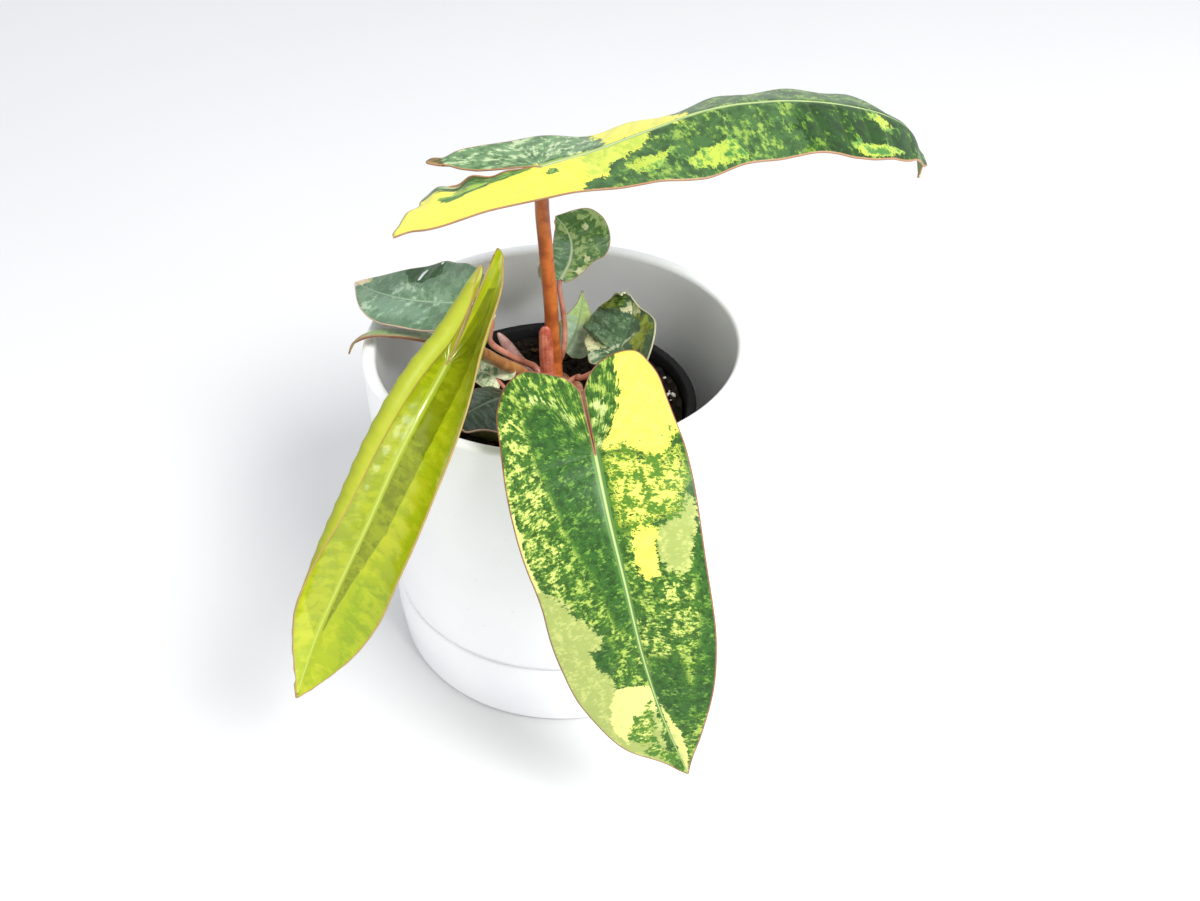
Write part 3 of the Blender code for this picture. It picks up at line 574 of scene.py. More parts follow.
frontLeaf = {
    "size": "large",
    "axis": [(7, -56, 137), (9.5, -74.5, 131), (12.5, -89.5, 119.5), (16.5, -100, 103),
             (20.5, -107, 84), (25.5, -112, 65), (34.5, -117.5, 39)],
    "side": (-1, 0.12, 0),
    "plus": [(-22, 0.4), (-26.5, 3.2), (-29.5, 9.5), (-31, 16), (-28, 21), (-20, 25), (-5, 26.2),
             (18, 26.6), (40, 25), (60, 24.5), (78, 21), (92, 14.5), (101, 5), (108, 0)],
    "minus": [(-22, -0.4), (-28.5, -4), (-32.5, -11), (-32, -18), (-26, -21.7), (-13, -23.7),
              (10, -25.4), (37, -23.5), (62, -21.4), (80, -16), (93, -9), (103, -2.5), (108, 0)],
    "lift": [(-30, 12, 12), (0, 8, 8), (110, 5, 5)],
    "curl": [(-30, -0.5, -0.5), (110, -0.5, -0.5)],
    "ripple": (0.5, 22),
    "leavesAt": (300, 52),
    "petiole": [(5, -2, 103), (6.5, -28, 119), (8, -52, 127.5)],
    "girth": (1.7, 1.5),
    "pucker": 0.3, "veinSpacing": 6.5, "channel": 0.3, "ribWidth": 1.25,
    "marks": {
        "streak": [[(0, 0.5), (-1, 3), (-7, 6.5), (-13, 9), (-18, 11), (-19, 8.5), (-13, 6),
                    (-7, 3), (-2, 0.6)],
                   [(-15, 9), (-20, 12), (-25, 15.5), (-24.5, 17), (-19, 14.5), (-14, 11)],
                   [(-2, -1.5), (-9, -4.5), (-18, -5.5), (-19, -2.5), (-8, -2)]],
        "dense": [[(-12, 16), (0, 17), (8, 9), (14, 9), (16, 17), (34, 18), (32, 28), (-12, 28)],
                  [(42, -11), (54, -10), (57, -17), (48, -19), (41, -16)],
                  [(50, -1), (66, -1), (66, -6), (56, -9)]],
        "solid": [[(-16, 9), (-8, 5), (-3, 1), (26, 1), (52, 1), (50, 4.5), (34, 7), (26, 10),
                   (14, 13), (2, 16), (-12, 18), (-18, 14)],
                  [(10, -23), (34, -21), (52, -19.5), (62, -17), (84, -9), (84, -24), (12, -28)],
                  [(62, -2), (76, -0.5), (88, -5), (84, -10), (64, -10)],
                  [(54, 9), (58, 8), (66, 11), (63, 14.5), (57, 14)]],
        "pale": [[(32, 25), (38, 20), (42, 17), (47, 14), (51.5, 10), (54, 9.5), (57, 14),
                  (61.5, 14), (65, 10.5), (70, 10), (73, 1), (84, 1), (104, 3), (90, 18), (80, 25),
                  (60, 28), (34, 29)],
                 [(15, -22), (19, -24.5), (26, -23), (33, -20), (37, -18), (36.5, -14), (34, -11),
                  (28, -11), (24, -12.5), (22, -17), (20, -20)]],
        "cream": [[(12, 25.4), (24, 25), (35, 23.8), (35, 28), (12, 29)],
                  [(70, 10), (70.5, 3), (72, 0.5), (80, 0.5), (84, 8), (90, 13), (84, 15.5),
                   (76, 14)],
                  [(76, -0.5), (84, -2), (89, -3.5), (98, -3.2), (103, -1.5), (107, 0)]],
        "yellow": [[(0, -1.5), (-8, -6), (-14, -8.5), (-20, -10.5), (-33, -11.5), (-36, -19),
                    (-27, -25), (-14, -27), (-3, -27), (-1, -23.5), (3, -21), (6.5, -19),
                    (6.5, -16), (3, -13), (0.5, -9)],
                   [(19, -6), (22, -11), (24, -12.5), (30, -11), (37, -10), (38, -7), (36, -4.5),
                    (30, -4.5), (26, -5.5), (21, -5.5)]],
        "lace": [[(0.5, -1.5), (22, -1.5), (22, -6), (23, -11), (21, -20), (12, -24.5), (-1, -24),
                  (6, -17.5), (2.5, -12), (0.5, -8)]],
        "islands": [[(77, 1.5), (83, 3), (91, 4.5), (92, 9), (88, 12), (84, 10), (80, 5)],
                    [(92, 6), (95, 3), (101, 1.5), (103, 2.5), (98, 6), (94, 9)]],
    },
}
leftLeaf = {
    "size": "large",
    "axis": [(-20.5, -15.5, 157.5), (-32.5, -44.5, 143), (-40, -59, 136), (-47.5, -68.5, 126),
             (-56, -78, 112), (-65, -85.5, 97), (-73.5, -93, 82), (-81, -103.5, 66)],
    "side": (-0.88, 0.19, 0.44),
    "plus": [(-24, 0.3), (-31, 0.6), (-34, 1.8), (-32.5, 5), (-25, 10.5), (-10, 18), (0, 20.5),
             (20, 19.8), (40, 18), (60, 16), (80, 11.5), (95, 6), (104, 2.2), (110.5, 0)],
    "minus": [(-37, -0.4), (-43, -0.8), (-41.5, -2.6), (-36, -5.2), (-27, -9.5), (-12, -15),
              (0, -17), (20, -17.4), (40, -16.6), (60, -16.2), (80, -15.5), (93, -12), (103, -6),
              (110.5, 0)],
    "lift": [(-30, 38, 20), (0, 14, 12), (20, 6, 4), (40, 4, 0), (60, 4, 0), (80, 14, 0),
             (110, 24, 4)],
    "curl": [(-30, 7, 7), (0, 6, 5.8), (20, 5, 4.4), (40, 4.6, 3.6), (60, 4.4, 3), (80, 4.2, 2.2),
             (110, 3, 2)],
    "roll": [(-30, 12, 0), (0, 16, 0), (60, 16, 0), (85, 6, 0), (110, 0, 0)],
    "rollFrom": [(-30, 4, 0), (-20, 9, 0), (0, 14, 0), (20, 13, 0), (40, 11.5, 0), (60, 10.5, 0),
                 (80, 9, 0), (110, 9, 0)],
    "ripple": (0, 20),
    "leavesAt": (190, 52),
    "petiole": [(-12.3, 11, 99.5), (-19.7, 2, 111), (-24.3, -10.5, 123.5), (-27, -26, 135.5)],
    "girth": (2.3, 1.9),
    "pucker": 0.3, "veinSpacing": 6, "channel": 0.3, "ribWidth": 1.2,
    "marks": {"green": [[(68, -3), (84, -4), (96, -7), (104, -4), (100, -14), (84, -18),
                         (66, -18)]],
              # the trough band beside the midrib on the minus side: painted shade, the same lime
              # made darker where the raised half shades it
              "trough": [[(-28, -3), (-10, -1), (8, -0.6), (60, -0.6), (92, -0.8), (70, -3.4),
                          (52, -5.8), (34, -6.8), (10, -7.5), (-10, -7), (-28, -6)]],
              "inner": [[(-40, 0.4), (0, 0.4), (70, 0.4), (90, 1), (78, 9), (60, 11.5), (30, 14),
                         (0, 16), (-40, 8)]],
              # the brink strips along the margins: painted light, paler lime where the rolled
              # margin is lit
              "brink": [[(-44, -2), (-36, -6.5), (-27, -11), (-12, -17), (0, -19), (20, -19),
                         (36, -18.5), (34, -15.4), (20, -15.2), (0, -14.2), (-12, -12), (-27, -7.2),
                         (-38, -3)],
                        [(-20, 3), (-33, 0.4), (-36, 5), (-24, 13)]]},
}
leftBackLeaf = {
    "size": "small",
    "axis": [(-17.5, 5.5, 132.5), (-26, 5.4, 133), (-35, 6.2, 133.3), (-44.5, 8.6, 132.8),
             (-53.5, 13.3, 131.8), (-62.5, 20.6, 130.6), (-70.5, 29, 129.5)],
    "side": (0.12, 1, 0.1),
    "plus": [(-4, 3), (-5, 10), (1, 18.5), (8, 22.5), (16, 23.5), (24, 21.5), (33, 16.5), (41, 10),
             (47, 4.5), (51.5, 0)],
    "minus": [(-5, -3), (-6, -7), (-1, -11.5), (8, -14.2), (18, -14.8), (28, -13.2), (37, -9.8),
              (45, -4.5), (51.5, 0)],
    "lift": [(-6, 8, 6), (51, 4, 4)],
    "curl": [(-6, -0.6, -0.8), (51, -0.6, -0.8)],
    "ripple": (0.5, 17),
    "leavesAt": (145, 45),
    "petiole": [(-11.5, 17, 100.5), (-17.5, 11, 108.5), (-23, 6, 118), (-22, 4.8, 127)],
    "girth": (1.2, 1),
    "pucker": 0.25, "veinSpacing": 5, "channel": 0.25, "ribWidth": 0.8,
    "marks": {"wet": [[(21, 11), (24, 8.5), (29, 8), (33, 10), (37, 13), (33, 20), (26, 24),
                       (20, 22), (17, 15)]],
              "pale": [[(14, -11), (26, -12), (36, -7), (36, -1), (24, -0.5), (18, -3), (14, -1)],
                       [(24, 1), (34, 1), (33, 5), (26, 7), (22, 5)]],
              # the drop outlines: painted highlights, white glints on the water drops
              "drop": [[(20.5, 20.5), (22, 20), (22.5, 21.5), (21, 22)],
                       [(25.5, 9.5), (26.6, 9.5), (27.6, 14), (27.2, 16.4), (26, 16), (26, 13.5)]],
              "tip": [[(46, 3), (50, -3), (54, -3), (54, 4), (48, 6)]]},
}
narrowLeaf = {
    "size": "small",
    "axis": [(-36, 4, 119), (-43, 1.5, 123), (-48, -0.5, 125.5), (-54, -1, 126.7), (-61, -1, 126.8),
             (-67, -1.5, 124.5), (-70.5, -2.5, 119)],
    "side": (0.05, 0.92, -0.36),
    "plus": [(-2.5, 1.2), (-3, 3.2), (0, 4.8), (8, 5.2), (16, 4.8), (23, 3), (28, 1.2), (31, 0)],
    "minus": [(-2.5, -1.2), (-3, -3.2), (0, -4.8), (8, -5.2), (16, -4.8), (23, -3), (28, -1.2),
              (31, 0)],
    "lift": [(-4, 5, 5), (31, 3, 3)],
    "curl": [(-4, 0, 0), (31, 0, 0)],
    "ripple": (0, 12),
    "leavesAt": (168, 78),
    "petiole": [(-15.5, 16, 99.5), (-26, 13, 107.5), (-34, 7.5, 114)],
    "girth": (1.1, 0.9),
    "pucker": 0.1, "veinSpacing": 4, "channel": 0.15, "ribWidth": 0.5,
    "marks": {"tip": [[(23, -4), (34, -4), (34, 4), (23, 4)]]},
}
backLeaf = {
    "size": "small",
    "axis": [(-1.5, 28, 119), (2.3, 30, 126.5), (5.8, 31.7, 133.2), (6.6, 33.6, 138),
             (5, 36.4, 142.8), (0.5, 40, 147.5)],
    "side": (1, 0.1, -0.25),
    "plus": [(-0.5, 2), (2.5, 4.2), (6, 6.2), (9, 8.6), (10.5, 11.8), (13.5, 14.2), (17, 14.4),
             (20, 12), (22.4, 7), (24, 2.5), (25, 0)],
    "minus": [(-2.5, -3), (-2.5, -7), (1, -9.6), (5, -9.8), (10, -8.4), (15, -6.8), (20, -4.6),
              (23, -2.2), (25, 0)],
    "lift": [(-4, 8, 8), (25, 5, 5)],
    "curl": [(-4, -0.8, -0.8), (25, -0.8, -0.8)],
    "ripple": (0.4, 9),
    "leavesAt": (75, 55),
    "petiole": [(2, 22.5, 101), (3, 25.5, 109), (2.5, 26.5, 117)],
    "girth": (1.1, 0.9),
    "pucker": 0.25, "veinSpacing": 3.6, "channel": 0.2, "ribWidth": 0.75,
    "marks": {"mottled": [[(2, 1), (12, 1), (15, -4), (27, -4), (27, 16), (2, 16)]],
              "cream": [[(4.6, 2.6), (6.4, 3.4), (7, 5.2), (6, 6.6), (4.2, 5.2)],
                        [(8.5, 5), (10.5, 4.6), (10.2, 7), (9, 7)],
                        [(16, 6), (17.5, 5.4), (18.4, 7.4), (17, 8)]]},
}
pointedLeaf = {
    "size": "small",
    "axis": [(0.5, 27, 92.5), (3, 28, 97), (6.5, 29, 103.5), (8.5, 30.5, 110), (9.5, 32, 114.5),
             (10, 34, 119)],
    "side": (1, 0.1, -0.3),
    "plus": [(-1, 3), (0, 6), (5, 8.5), (11, 7.2), (15.5, 4.8), (19, 2.6), (22, 1), (24.5, 0)],
    "minus": [(-2, -4), (-2, -8), (3, -10.5), (9, -9), (15, -5), (20, -1.8), (24.5, 0)],
    "lift": [(-3, 12, 12), (24, 6, 6)],
    "curl": [(-3, -0.6, -0.6), (24, -0.6, -0.6)],
    "ripple": (0, 8),
    "leavesAt": (105, 72),
    "petiole": [(-3.5, 25.5, 92.8), (-0.5, 28.2, 93.6)],
    "girth": (0.9, 0.8),
    "pucker": 0.15, "veinSpacing": 3.4, "channel": 0.2, "ribWidth": 0.6,
    "marks": {"tip": [[(12, -10), (26, -10), (26, 10), (14, 10)]]},
}
curledLeaf = {
    "size": "small",
    "axis": [(17.5, 7.5, 105), (20.5, 9, 108), (23, 11, 112), (25.5, 14, 116.5), (27, 17, 121),
             (26, 18, 125.5), (23.5, 16.5, 128), (21.5, 14, 127.5)],
    "side": (0.88, -0.4, 0.25),
    "plus": [(-6, 3), (-8, 9), (-4, 15), (2, 19.5), (6.5, 20), (10.5, 18), (13.5, 15), (15.4, 11),
             (16.6, 7.5), (17.4, 4.5), (18.6, 2), (21, 0.6), (27, 0)],
    "minus": [(-7, -3), (-8.5, -6), (-6, -11), (-4, -17), (0, -20.5), (6, -21), (12, -18.5),
              (18, -13.5), (22.5, -8), (25.5, -3), (27, 0)],
    "lift": [(-5, 14, 4), (27, 20, 6)],
    "curl": [(-5, 1.8, -2), (27, 1.8, -2)],
    "ripple": (0.4, 9),
    "leavesAt": (355, 55),
    "petiole": [(7.5, 11, 97), (12.5, 8.5, 101)],
    "girth": (1.1, 0.9),
    "stalkSide": (-0.4, -0.88, 0),
    "pucker": 0.2, "veinSpacing": 3.8, "channel": 0.05, "ribWidth": 0.5,
    "marks": {"mottled": [[(13, -15), (18, -9), (17, -4), (21, -2), (26, -2), (26, -9),
                           (19, -14)]],
              # inside: the curl's inner face, its own lime darkened by painted shade; the second
              # outline is a patch of painted shade
              "inside": [[(15.5, 0.5), (16, 6), (14, 11), (12, 14), (9.5, 12), (9, 8.5), (12, 5.5),
                          (13, 2.5)],
                         [(9, 3.5), (9.8, 8), (8.6, 11.5), (5.6, 11.5), (4.4, 7), (5.4, 3)]],
              "cream": [[(-0.5, -22), (-1.8, -15.5), (-1.6, -13), (-1.9, -9.4), (-1.8, -7.2),
                         (0.4, -4.9), (-1, -4.6), (-4.6, -8.5), (-7, -11), (-5.5, -17), (-3, -22)],
                        [(16.5, -6), (17.8, -4), (19, -1), (19, 3), (16.4, 4), (14.9, 0),
                         (15.2, -3)]],
              "mid": [[(-1, -4.4), (3, -1.6), (6.2, 1.2), (9.4, 3.2), (9, 4.2), (5.6, 2.2),
                       (2.4, -0.8), (-1.6, -3.4)]],
              "lobe": [[(-12, -14), (-6.4, -10), (-4.6, -8.5), (-1.6, -4.6), (-2, 1), (-12, 1)]]},
}
smallLeaf = {
    "size": "small",
    "axis": [(-19, 2.5, 101.5), (-22, 4.5, 103.2), (-25, 6.8, 104), (-28, 9, 103),
             (-30.5, 11, 101)],
    "side": (0.6, 0.68, 0.42),
    "plus": [(-3, 1.2), (-5, 3.5), (-4.5, 6), (-0.5, 7.2), (6, 6.6), (11, 3.8), (14, 0)],
    "minus": [(-3, -1.2), (-4, -3.2), (-1.5, -5), (4, -5.4), (10, -3.2), (14, 0)],
    "lift": [(-2, 4, 4), (12, 0, 0)],
    "curl": [(-2, 4, 1), (12, 2, -1)],
    "ripple": (0, 6),
    "leavesAt": (222, 72),
    "petiole": [(-11, 5, 93.5), (-14.5, 1.5, 95.5)],
    "girth": (0.9, 0.8),
    "stalkSide": (0, 0, 1),
    "pucker": 0.15, "veinSpacing": 3, "channel": 0.15, "ribWidth": 0.5,
    "marks": {},
}
lowLeaf = {
    "size": "small",
    "axis": [(-11, 0, 97), (-15, -5, 102), (-20.5, -12, 106.5), (-26, -20, 109.5),
             (-30.5, -27, 111.5), (-35, -33, 112)],
    "side": (-0.74, 0.67, 0),
    "plus": [(-3, 2.5), (-3.5, 5), (1, 8), (9, 9.5), (18, 9), (26, 6), (31, 2.5), (34.5, 0)],
    "minus": [(-3, -2.5), (-3.5, -8), (1, -15), (9, -20), (18, -20.5), (26, -17.5), (31, -12.5),
              (34, -6), (34.8, -2), (34.5, 0)],
    "lift": [(-3, -4, -14), (16, -2, -22), (34, -2, -46)],
    "curl": [(-3, 0.5, -1.2), (34, 0.5, -1.2)],
    "roll": [(-3, 0, 20), (26, 0, 19), (34, 0, 22)],
    "rollFrom": [(-3, 0, 8), (9, 0, 13.5), (18, 0, 13), (26, 0, 9.5), (30, 0, 6), (34, 0, 2)],
    "ripple": (0.3, 12),
    "leavesAt": (255, 72),
    "petiole": [(-5.5, 2.5, 94), (-10, -0.5, 97)],
    "girth": (0.9, 0.8),
    "pucker": 0.25, "veinSpacing": 4.6, "channel": 0.2, "ribWidth": 0.7,
    "marks": {},
}

# Blade finishes. A sector is (mark, ground, middle, fleck, share of fleck, ragged edge in mm); the
# first covers the whole blade. A share of 0 has least fleck and 1 has most. FleckScale is flecks
# per mm, deep how much darker the ground is clouded, veins how plainly the side veins show, and
# tone the share of the whole blade's colour kept, the rest going to black: painted shade, set blade
# by blade to make up for how much light reaches each.
midGreen, leafGreen = (0.08, 0.24, 0.045), (0.24, 0.42, 0.07)
looks = {
    "topLeaf": {
        "sectors": [
            ("", (0.06, 0.15, 0.038), (0.11, 0.23, 0.042), (0.29, 0.43, 0.07), 0.22, 0),
            ("back", (0.15, 0.29, 0.12), (0.24, 0.40, 0.18), (0.56, 0.68, 0.38), 0.28, 5),
            ("bright", (0.016, 0.07, 0.006), (0.034, 0.12, 0.008), (0.17, 0.31, 0.02), 0.13, 4),
            ("lime", (0.5, 0.62, 0.075), leafGreen, midGreen, 0.16, 3),
            ("yellow", (0.96, 0.90, 0.09), (0.90, 0.88, 0.11), (0.74, 0.78, 0.09), 0.06, 4),
            ("fresh", (0.66, 0.74, 0.10), (0.6, 0.70, 0.09), (0.50, 0.63, 0.075), 0.3, 2),
            ("green", midGreen, (0.16, 0.33, 0.05), (0.4, 0.55, 0.08), 0.2, 2),
            ("nub", (0.10, 0.09, 0.02), (0.20, 0.13, 0.04), (0.32, 0.24, 0.08), 0.3, 0),
        ],
        "fleckScale": 0.5, "deep": 0.4, "veins": 0.12,
        "under": (0.30, 0.45, 0.14), "rib": (0.36, 0.50, 0.14), "ribLine": (0.66, 0.76, 0.40),
        "rim": (0.50, 0.26, 0.13), "roughness": 0.42, "coat": 0.1, "tone": 0.86,
    },
    "frontLeaf": {
        "sectors": [
            ("", (0.058, 0.18, 0.018), (0.17, 0.34, 0.035), (0.52, 0.66, 0.12), 0.26, 0),
            ("streak", (0.10, 0.25, 0.03), (0.36, 0.53, 0.10), (0.72, 0.83, 0.30), 0.34, 2),
            ("dense", (0.065, 0.19, 0.02), (0.28, 0.45, 0.055), (0.76, 0.83, 0.21), 0.3, 6),
            ("solid", (0.04, 0.145, 0.017), (0.07, 0.21, 0.022), (0.22, 0.40, 0.05), 0.12, 3),
            ("pale", (0.45, 0.54, 0.14), (0.52, 0.60, 0.165), (0.64, 0.70, 0.21), 0.24, 2),
            ("cream", (0.97, 0.97, 0.29), (0.88, 0.92, 0.30), (0.72, 0.80, 0.25), 0.12, 1),
            ("yellow", (0.98, 0.97, 0.13), (0.97, 0.97, 0.2), (0.92, 0.94, 0.15), 0.1, 2),
            ("lace", (0.95, 0.96, 0.17), (0.60, 0.68, 0.08), (0.10, 0.25, 0.015), 0.46, 5),
            ("islands", (0.88, 0.92, 0.28), (0.30, 0.46, 0.05), (0.08, 0.23, 0.02), 0.52, 2),
        ],
        "fleckScale": 1.15, "deep": 0.45, "veins": 0.06,
        "under": (0.36, 0.50, 0.20), "rib": (0.14, 0.31, 0.07), "ribLine": (0.66, 0.78, 0.30),
        "rim": (0.48, 0.18, 0.12), "roughness": 0.42, "coat": 0.0, "tone": 0.74,
    },
    "leftLeaf": {
        "sectors": [
            ("", (0.38, 0.47, 0.006), (0.43, 0.51, 0.008), (0.50, 0.55, 0.015), 0.4, 0),
            ("inner", (0.30, 0.37, 0.002), (0.34, 0.41, 0.003), (0.40, 0.46, 0.005), 0.4, 1),
            # the trough band: painted shade, a smooth darker lime with no mottling
            ("trough", (0.23, 0.28, 0.004), (0.26, 0.31, 0.005), (0.30, 0.36, 0.006), 0.3, 0.5),
            # the brink strips: painted light, a paler lime
            ("brink", (0.52, 0.58, 0.08), (0.58, 0.63, 0.12), (0.64, 0.68, 0.18), 0.4, 0.5),
            ("green", (0.30, 0.42, 0.004), (0.36, 0.47, 0.006), (0.44, 0.53, 0.01), 0.4, 4),
        ],
        "fleckScale": 0.35, "deep": 0.2, "veins": 0.12,
        "under": (0.38, 0.42, 0.03), "rib": (0.40, 0.50, 0.04), "ribLine": (0.58, 0.64, 0.12),
        "rim": (0.46, 0.32, 0.08), "roughness": 0.25, "coat": 0.6, "tone": 0.8,
    },
    "leftBackLeaf": {
        "sectors": [
            ("", (0.125, 0.23, 0.125), (0.155, 0.27, 0.15), (0.20, 0.32, 0.19), 0.3, 0),
            ("pale", (0.17, 0.29, 0.18), (0.23, 0.36, 0.23), (0.40, 0.53, 0.36), 0.14, 4),
            ("wet", (0.012, 0.07, 0.006), (0.018, 0.09, 0.008), (0.04, 0.13, 0.02), 0.3, 1),
            # the drop glints: painted highlights in near white
            ("drop", (0.85, 0.9, 0.88), (0.7, 0.8, 0.75), (0.5, 0.65, 0.55), 0.1, 0),
            ("tip", (0.75, 0.55, 0.35), (0.8, 0.68, 0.45), (0.5, 0.5, 0.2), 0.3, 3),
        ],
        "fleckScale": 0.5, "deep": 0.15, "veins": 0.16,
        "under": (0.30, 0.42, 0.26), "rib": (0.20, 0.34, 0.19), "ribLine": (0.40, 0.52, 0.36),
        "rim": (0.8, 0.55, 0.4), "roughness": 0.32, "coat": 0.2, "tone": 0.9,
    },
    "narrowLeaf": {
        "sectors": [
            ("", (0.22, 0.36, 0.11), (0.28, 0.43, 0.14), (0.36, 0.50, 0.18), 0.3, 0),
            ("tip", (0.24, 0.09, 0.04), (0.30, 0.14, 0.06), (0.34, 0.24, 0.09), 0.3, 6),
        ],
        "fleckScale": 0.8, "deep": 0.2, "veins": 0.1,
        "under": (0.36, 0.40, 0.14), "rib": (0.34, 0.42, 0.14), "ribLine": (0.42, 0.50, 0.2),
        "rim": (0.40, 0.26, 0.12), "roughness": 0.4, "coat": 0.1, "tone": 0.95,
    },
    "backLeaf": {
        "sectors": [
            ("", (0.14, 0.27, 0.13), (0.20, 0.34, 0.175), (0.29, 0.44, 0.25), 0.25, 0),
            ("mottled", (0.095, 0.21, 0.06), (0.18, 0.32, 0.085), (0.38, 0.50, 0.19), 0.27, 3),
            ("cream", (0.72, 0.74, 0.42), (0.6, 0.66, 0.34), (0.4, 0.5, 0.2), 0.3, 1),
        ],
        "fleckScale": 0.75, "deep": 0.25, "veins": 0.3,
        "under": (0.34, 0.42, 0.2), "rib": (0.42, 0.54, 0.30), "ribLine": (0.62, 0.70, 0.44),
        "rim": (0.5, 0.28, 0.2), "roughness": 0.4, "coat": 0.1, "tone": 1,
    },
    "pointedLeaf": {
        "sectors": [
            ("", (0.38, 0.54, 0.37), (0.46, 0.61, 0.44), (0.56, 0.70, 0.52), 0.35, 0),
            ("tip", (0.38, 0.56, 0.20), (0.43, 0.61, 0.22), (0.50, 0.66, 0.25), 0.35, 6),
        ],
        "fleckScale": 0.6, "deep": 0.2, "veins": 0.2,
        "under": (0.20, 0.32, 0.08), "rib": (0.28, 0.42, 0.2), "ribLine": (0.36, 0.48, 0.26),
        "rim": (0.45, 0.40, 0.2), "roughness": 0.45, "coat": 0.0, "tone": 1,
    },
    "curledLeaf": {
        "sectors": [
            ("", (0.075, 0.155, 0.07), (0.11, 0.20, 0.10), (0.18, 0.28, 0.15), 0.25, 0),
            ("mottled", (0.04, 0.10, 0.015), (0.12, 0.22, 0.03), (0.30, 0.40, 0.08), 0.34, 3),
            # inside: the leaf's own lime, darkened by painted shade
            ("inside", (0.17, 0.24, 0.012), (0.24, 0.32, 0.02), (0.34, 0.42, 0.04), 0.4, 2),
            ("lobe", (0.15, 0.26, 0.13), (0.28, 0.40, 0.24), (0.5, 0.6, 0.4), 0.4, 3),
            ("cream", (0.78, 0.78, 0.46), (0.66, 0.70, 0.38), (0.42, 0.52, 0.22), 0.3, 2),
            ("mid", (0.36, 0.46, 0.27), (0.42, 0.52, 0.32), (0.5, 0.58, 0.38), 0.3, 0.6),
        ],
        "fleckScale": 0.7, "deep": 0.3, "veins": 0.25,
        "under": (0.36, 0.44, 0.16), "rib": (0.09, 0.17, 0.08), "ribLine": (0.10, 0.19, 0.09),
        "rim": (0.50, 0.49, 0.30), "roughness": 0.36, "coat": 0.2, "tone": 1,
    },
    "smallLeaf": {
        "sectors": [("", (0.17, 0.28, 0.14), (0.40, 0.47, 0.26), (0.66, 0.68, 0.44), 0.5, 0)],
        "fleckScale": 0.5, "deep": 0.2, "veins": 0.2,
        "under": (0.45, 0.48, 0.28), "rib": (0.5, 0.54, 0.34), "ribLine": (0.6, 0.62, 0.42),
        "rim": (0.6, 0.52, 0.36), "roughness": 0.45, "coat": 0.0, "tone": 1,
    },
    "lowLeaf": {
        "sectors": [("", (0.034, 0.066, 0.034), (0.05, 0.09, 0.05), (0.085, 0.135, 0.08), 0.3, 0)],
        "fleckScale": 0.4, "deep": 0.3, "veins": 0.7,
        "under": (0.14, 0.12, 0.02), "rib": (0.13, 0.19, 0.13), "ribLine": (0.17, 0.24, 0.17),
        "rim": (0.62, 0.40, 0.28), "roughness": 0.36, "coat": 0.3, "tone": 0.55,
    },
}

mottle = {
    "stretch": 0.55,           # noise across the blade against noise along it
    "fineShare": 0.6,
    "slowScale": 0.25, "cloudScale": 0.4,    # against the look's fleckScale
    "spread": 0.18,            # how far a sector's share moves the level where its flecks start
    "middleFade": (-0.045, -0.03), "fleckFade": (-0.007, 0.007), "cloudFade": (0.42, 0.56),
    "paleSum": 0.6,            # a ground whose three values add up to more isn't clouded
    "wander": 7.0,
    "edge": 0.15,              # mm that a sector's edge is blurred over, each way
}


def bladeColour(tree, look):
    # a fine fractal noise along the side veins and a slow one make one level. Each sector is ground
    # where it is low, then middle, then fleck where it passes the sector's cut, and the ground
    # itself is clouded darker; a sector's edge wanders with the same level, as the real ones do
    span, scale = leafBuild["uvSpan"], look["fleckScale"]
    flat = readMap(tree, "flat", (span, span, 1.0))
    vein = readMap(tree, "vein", (span, mottle["stretch"] * span, 1.0))
    fine = noiseOf(tree, vein, scale, 7.0, 0.72)
    slow = noiseOf(tree, flat, mottle["slowScale"] * scale, 3.0, 0.55)
    fine = sumOf(tree, "MULTIPLY", fine, mottle["fineShare"])
    level = sumOf(tree, "MULTIPLY_ADD", slow, 1 - mottle["fineShare"], fine)
    cloud = noiseOf(tree, flat, mottle["cloudScale"] * scale, 8.0, 0.7)
    colour = None
    for label, ground, middle, fleck, share, ragged in look["sectors"]:
        cut = 0.5 + mottle["spread"] * (0.5 - share)
        pale = sum(ground) >= mottle["paleSum"]
        clouded = ground if pale else tuple((1 - look["deep"]) * c for c in ground)
        shade = blendOf(tree, fade(tree, cloud, *mottle["cloudFade"]), clouded, ground)
        for offsets, tone in (("middleFade", middle), ("fleckFade", fleck)):
            low, high = mottle[offsets]
            shade = blendOf(tree, fade(tree, level, cut + low, cut + high), shade, tone)
        if colour is None:
            colour = shade
            continue
        wander = sumOf(tree, "SUBTRACT", level, 0.5)
        wander = sumOf(tree, "MULTIPLY", wander, mottle["wander"] * ragged)
        edge = sumOf(tree, "ADD", readValue(tree, label), wander)
        colour = blendOf(tree, fade(tree, edge, -mottle["edge"], mottle["edge"]), colour, shade)
    return colour, level


bladeFinish = {
    "underDull": 0.25,         # added to the roughness underneath
    "underShare": 0.7,         # of the underside's own colour there
    "veinWidth": (0.02, 0.09),           # as a share of the space between two side veins
    "veinTint": 0.45,
    "ribShare": 0.9,
    "ribEdge": (0.7, 1.1), "ribLineEdge": (0.16, 0.36),      # in rib widths
    "underRib": 1.5,
    "rimWidth": {"large": 0.7, "small": 0.45},
    "grain": (1.6, 0.25),      # per mm along and across the side veins
    "levelShare": 0.6,         # of the fleck noise in the bump, beside the grain
    "bump": (0.12, 0.6),       # depth in mm and strength, here and in the finishes below
}


